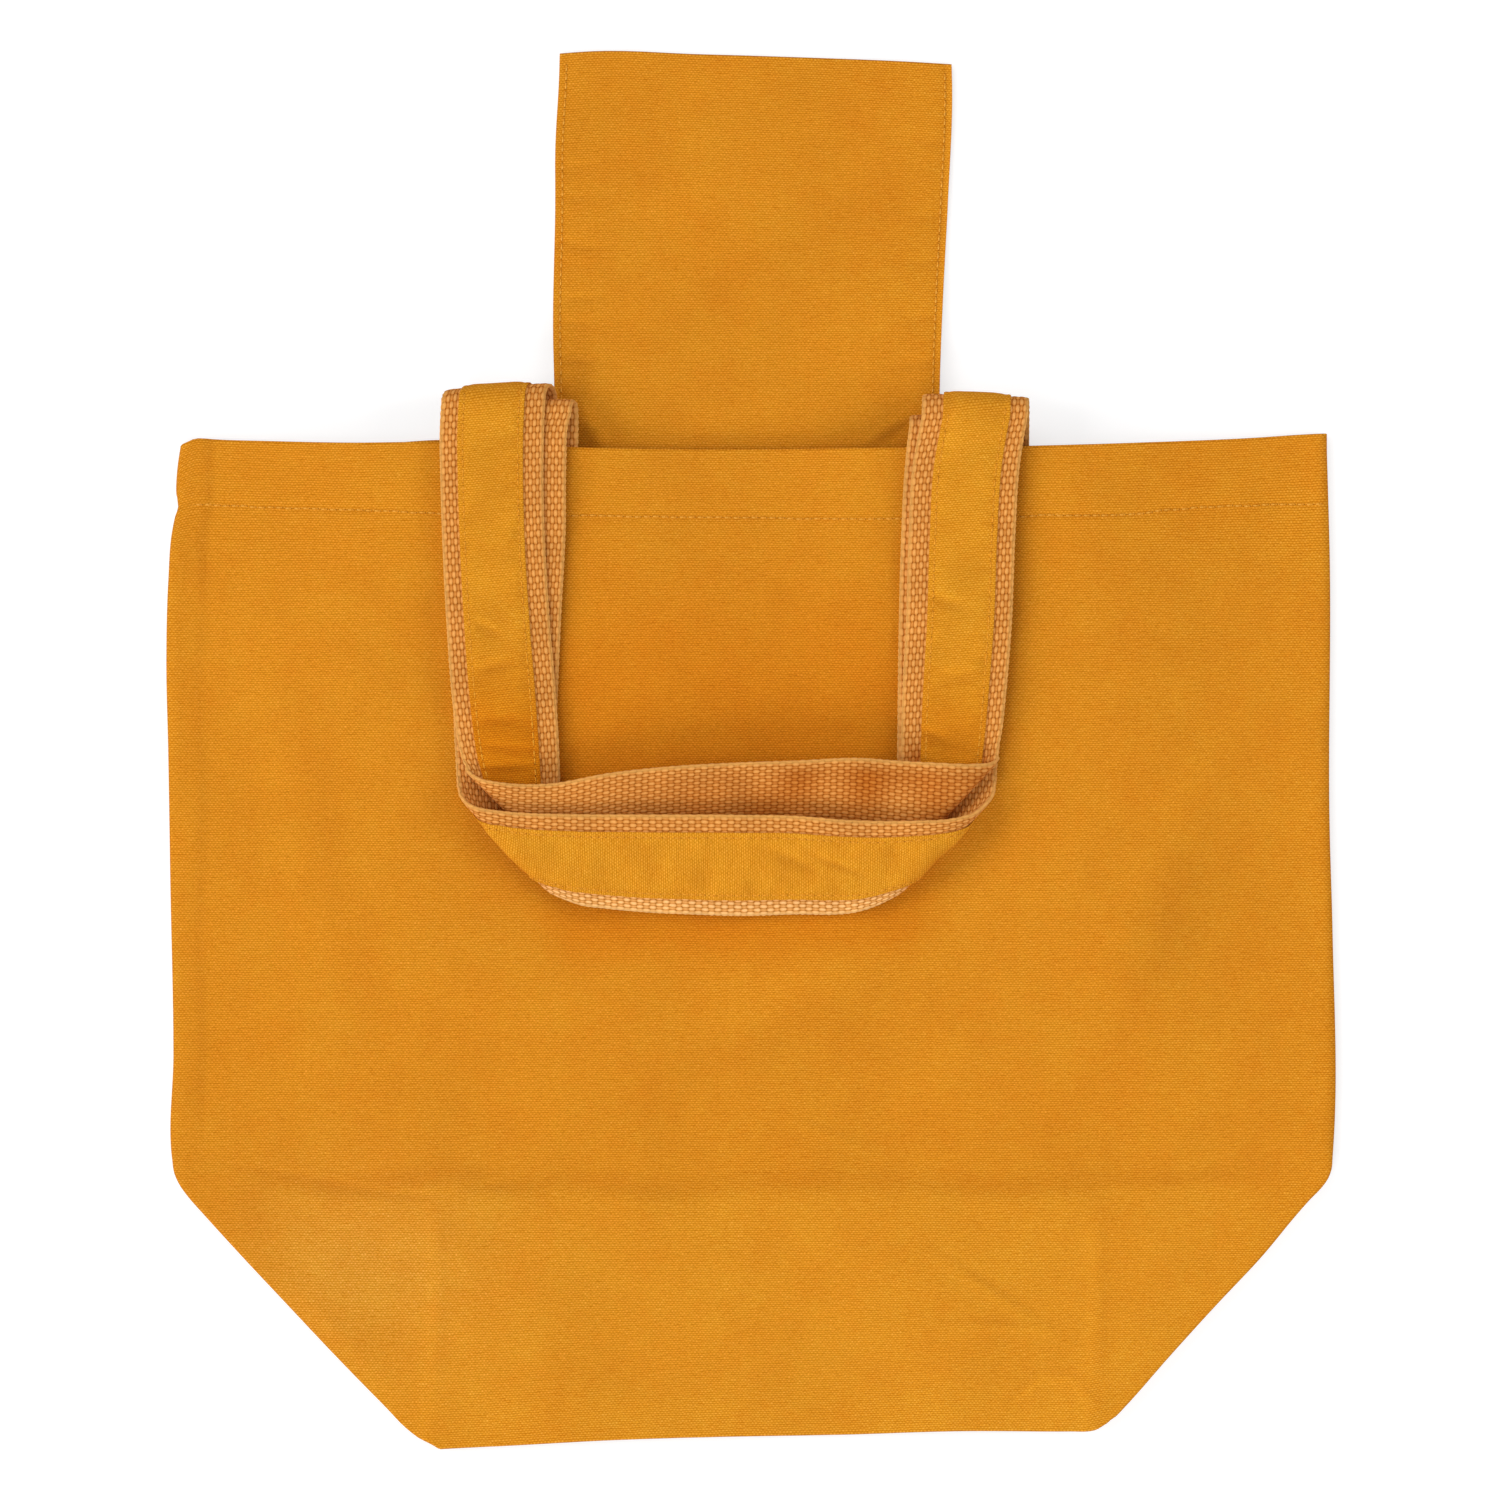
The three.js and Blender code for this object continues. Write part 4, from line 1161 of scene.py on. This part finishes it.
bend_start_z = BEND_Z - BACK_BEND
back_ends = (("left", BACK_TAIL_LEFT, BACK_LEFT_Y), ("right", BACK_TAIL_RIGHT, BACK_RIGHT_Y))
for word, tail, middle_y in back_ends:
    places = [(HEM_TAIL_Y, BACK_TAIL_Z), (95, BACK_TAIL_Z), (105, BACK_TAIL_Z + 0.2),
              (113, BACK_TAIL_Z + 2.6), (middle_y - 2, bend_start_z - 0.3), (middle_y, bend_start_z)]
    strap = Strap(tail_rulings(tail, places), bulge=0.0)
    piece = webbing_piece(f"back_handle_tail_{word}", strap)
    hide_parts(f"back_tail_{word}")
    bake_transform(piece)

# The front handle lies under the back handle's straps, and its arch lies over the other arch.
front_tail = [(y, FRONT_TAIL_Z) for y in (HEM_TAIL_Y, 90, 100, 108)]
left_bend = bend_rulings(FRONT_TOP_LEFT, FRONT_TAIL_LEFT, FRONT_LEFT_Y, FRONT_BEND)
right_bend = bend_rulings(FRONT_TOP_RIGHT, FRONT_TAIL_RIGHT, FRONT_RIGHT_Y, FRONT_BEND)
left_end = tail_rulings(FRONT_TAIL_LEFT, front_tail) + left_bend
right_end = tail_rulings(FRONT_TAIL_RIGHT, front_tail) + right_bend
front_strap = Strap(left_end + FRONT_RULINGS + right_end[::-1], bulge=0.4)
front_loop = webbing_piece("front_handle_webbing", front_strap, painted_highlight_on_front_arch)
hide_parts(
    "front_webbing_loop", "front_bend_left", "front_bend_right", "front_tail_left",
    "front_tail_right")
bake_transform(front_loop)
front_strip = strip_piece("front_handle_strip", front_strap, -1, FRONT_STRIP, FRONT_BARE_ROWS, FRONT_SEED)
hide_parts("front_strip_loop")
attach(front_strip, "front_handle")
front_stitches = strip_stitches(
    "front_handle_stitches", front_strap, -1, FRONT_STRIP, FRONT_SEED, FRONT_SEWN_FROM)
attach(front_stitches, "front_handle")

# Rows of stitches on the body and the flap

UP = [0.0, 0.0, 1.0]
for side, word in SIDES:
    reach = HEM_STITCH[0 if side < 0 else -1][0]
    x = np.arange(STITCH_PITCH / 2, abs(reach), STITCH_PITCH) * side
    y = through(HEM_STITCH, x) + 0.15 * ripple(x, x * 0, 14, 81)
    z = on_front(x, y) + STITCH_LIFT
    ahead = through(HEM_STITCH, x + 1) - through(HEM_STITCH, x - 1)
    slope = on_front(x + 1, y) - on_front(x - 1, y)
    rise = np.stack([-slope / 2, 0 * x, np.ones(len(x))], 1)
    row = stitch_mesh(f"front_hem_stitches_{word}", np.stack([x, y, z], 1),
                      np.stack([0 * x + 2, ahead, slope], 1), rise, hem_thread)
    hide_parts("front_hem_stitch")
    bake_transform(row)
    column = 4 if side < 0 else -5
    top = flap_mid[::-1][: len(flap_mid) // 2 - 5, column]
    run = run_along(top)
    at = np.arange(1.5, run[-1] - 2, STITCH_PITCH)
    path = np.stack([np.interp(at, run, top[:, i]) for i in range(3)], 1)
    ahead = np.stack([np.interp(at + 1, run, top[:, i]) for i in range(3)], 1) - path
    path[:, 2] += CANVAS / 2 + 0.08
    piece = stitch_mesh(f"flap_stitches_{word}", path, ahead, np.tile(UP, (len(path), 1)), hem_thread)
    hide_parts(f"flap_stitch_{word}")
    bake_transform(piece)

x = np.arange(-198.0, 199.0, STITCH_PITCH)
y = through(HEM_STITCH, x)
z = 0 * x + BACK_Z + 2 * FOLD_RADIUS + STITCH_LIFT
along = np.tile([1.0, 0.0, 0.0], (len(x), 1))
upright = np.tile(UP, (len(x), 1))
inside = stitch_mesh("back_hem_stitches", np.stack([x, y, z], 1), along, upright, hem_thread)
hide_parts("back_hem_stitch")
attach(inside, "back")
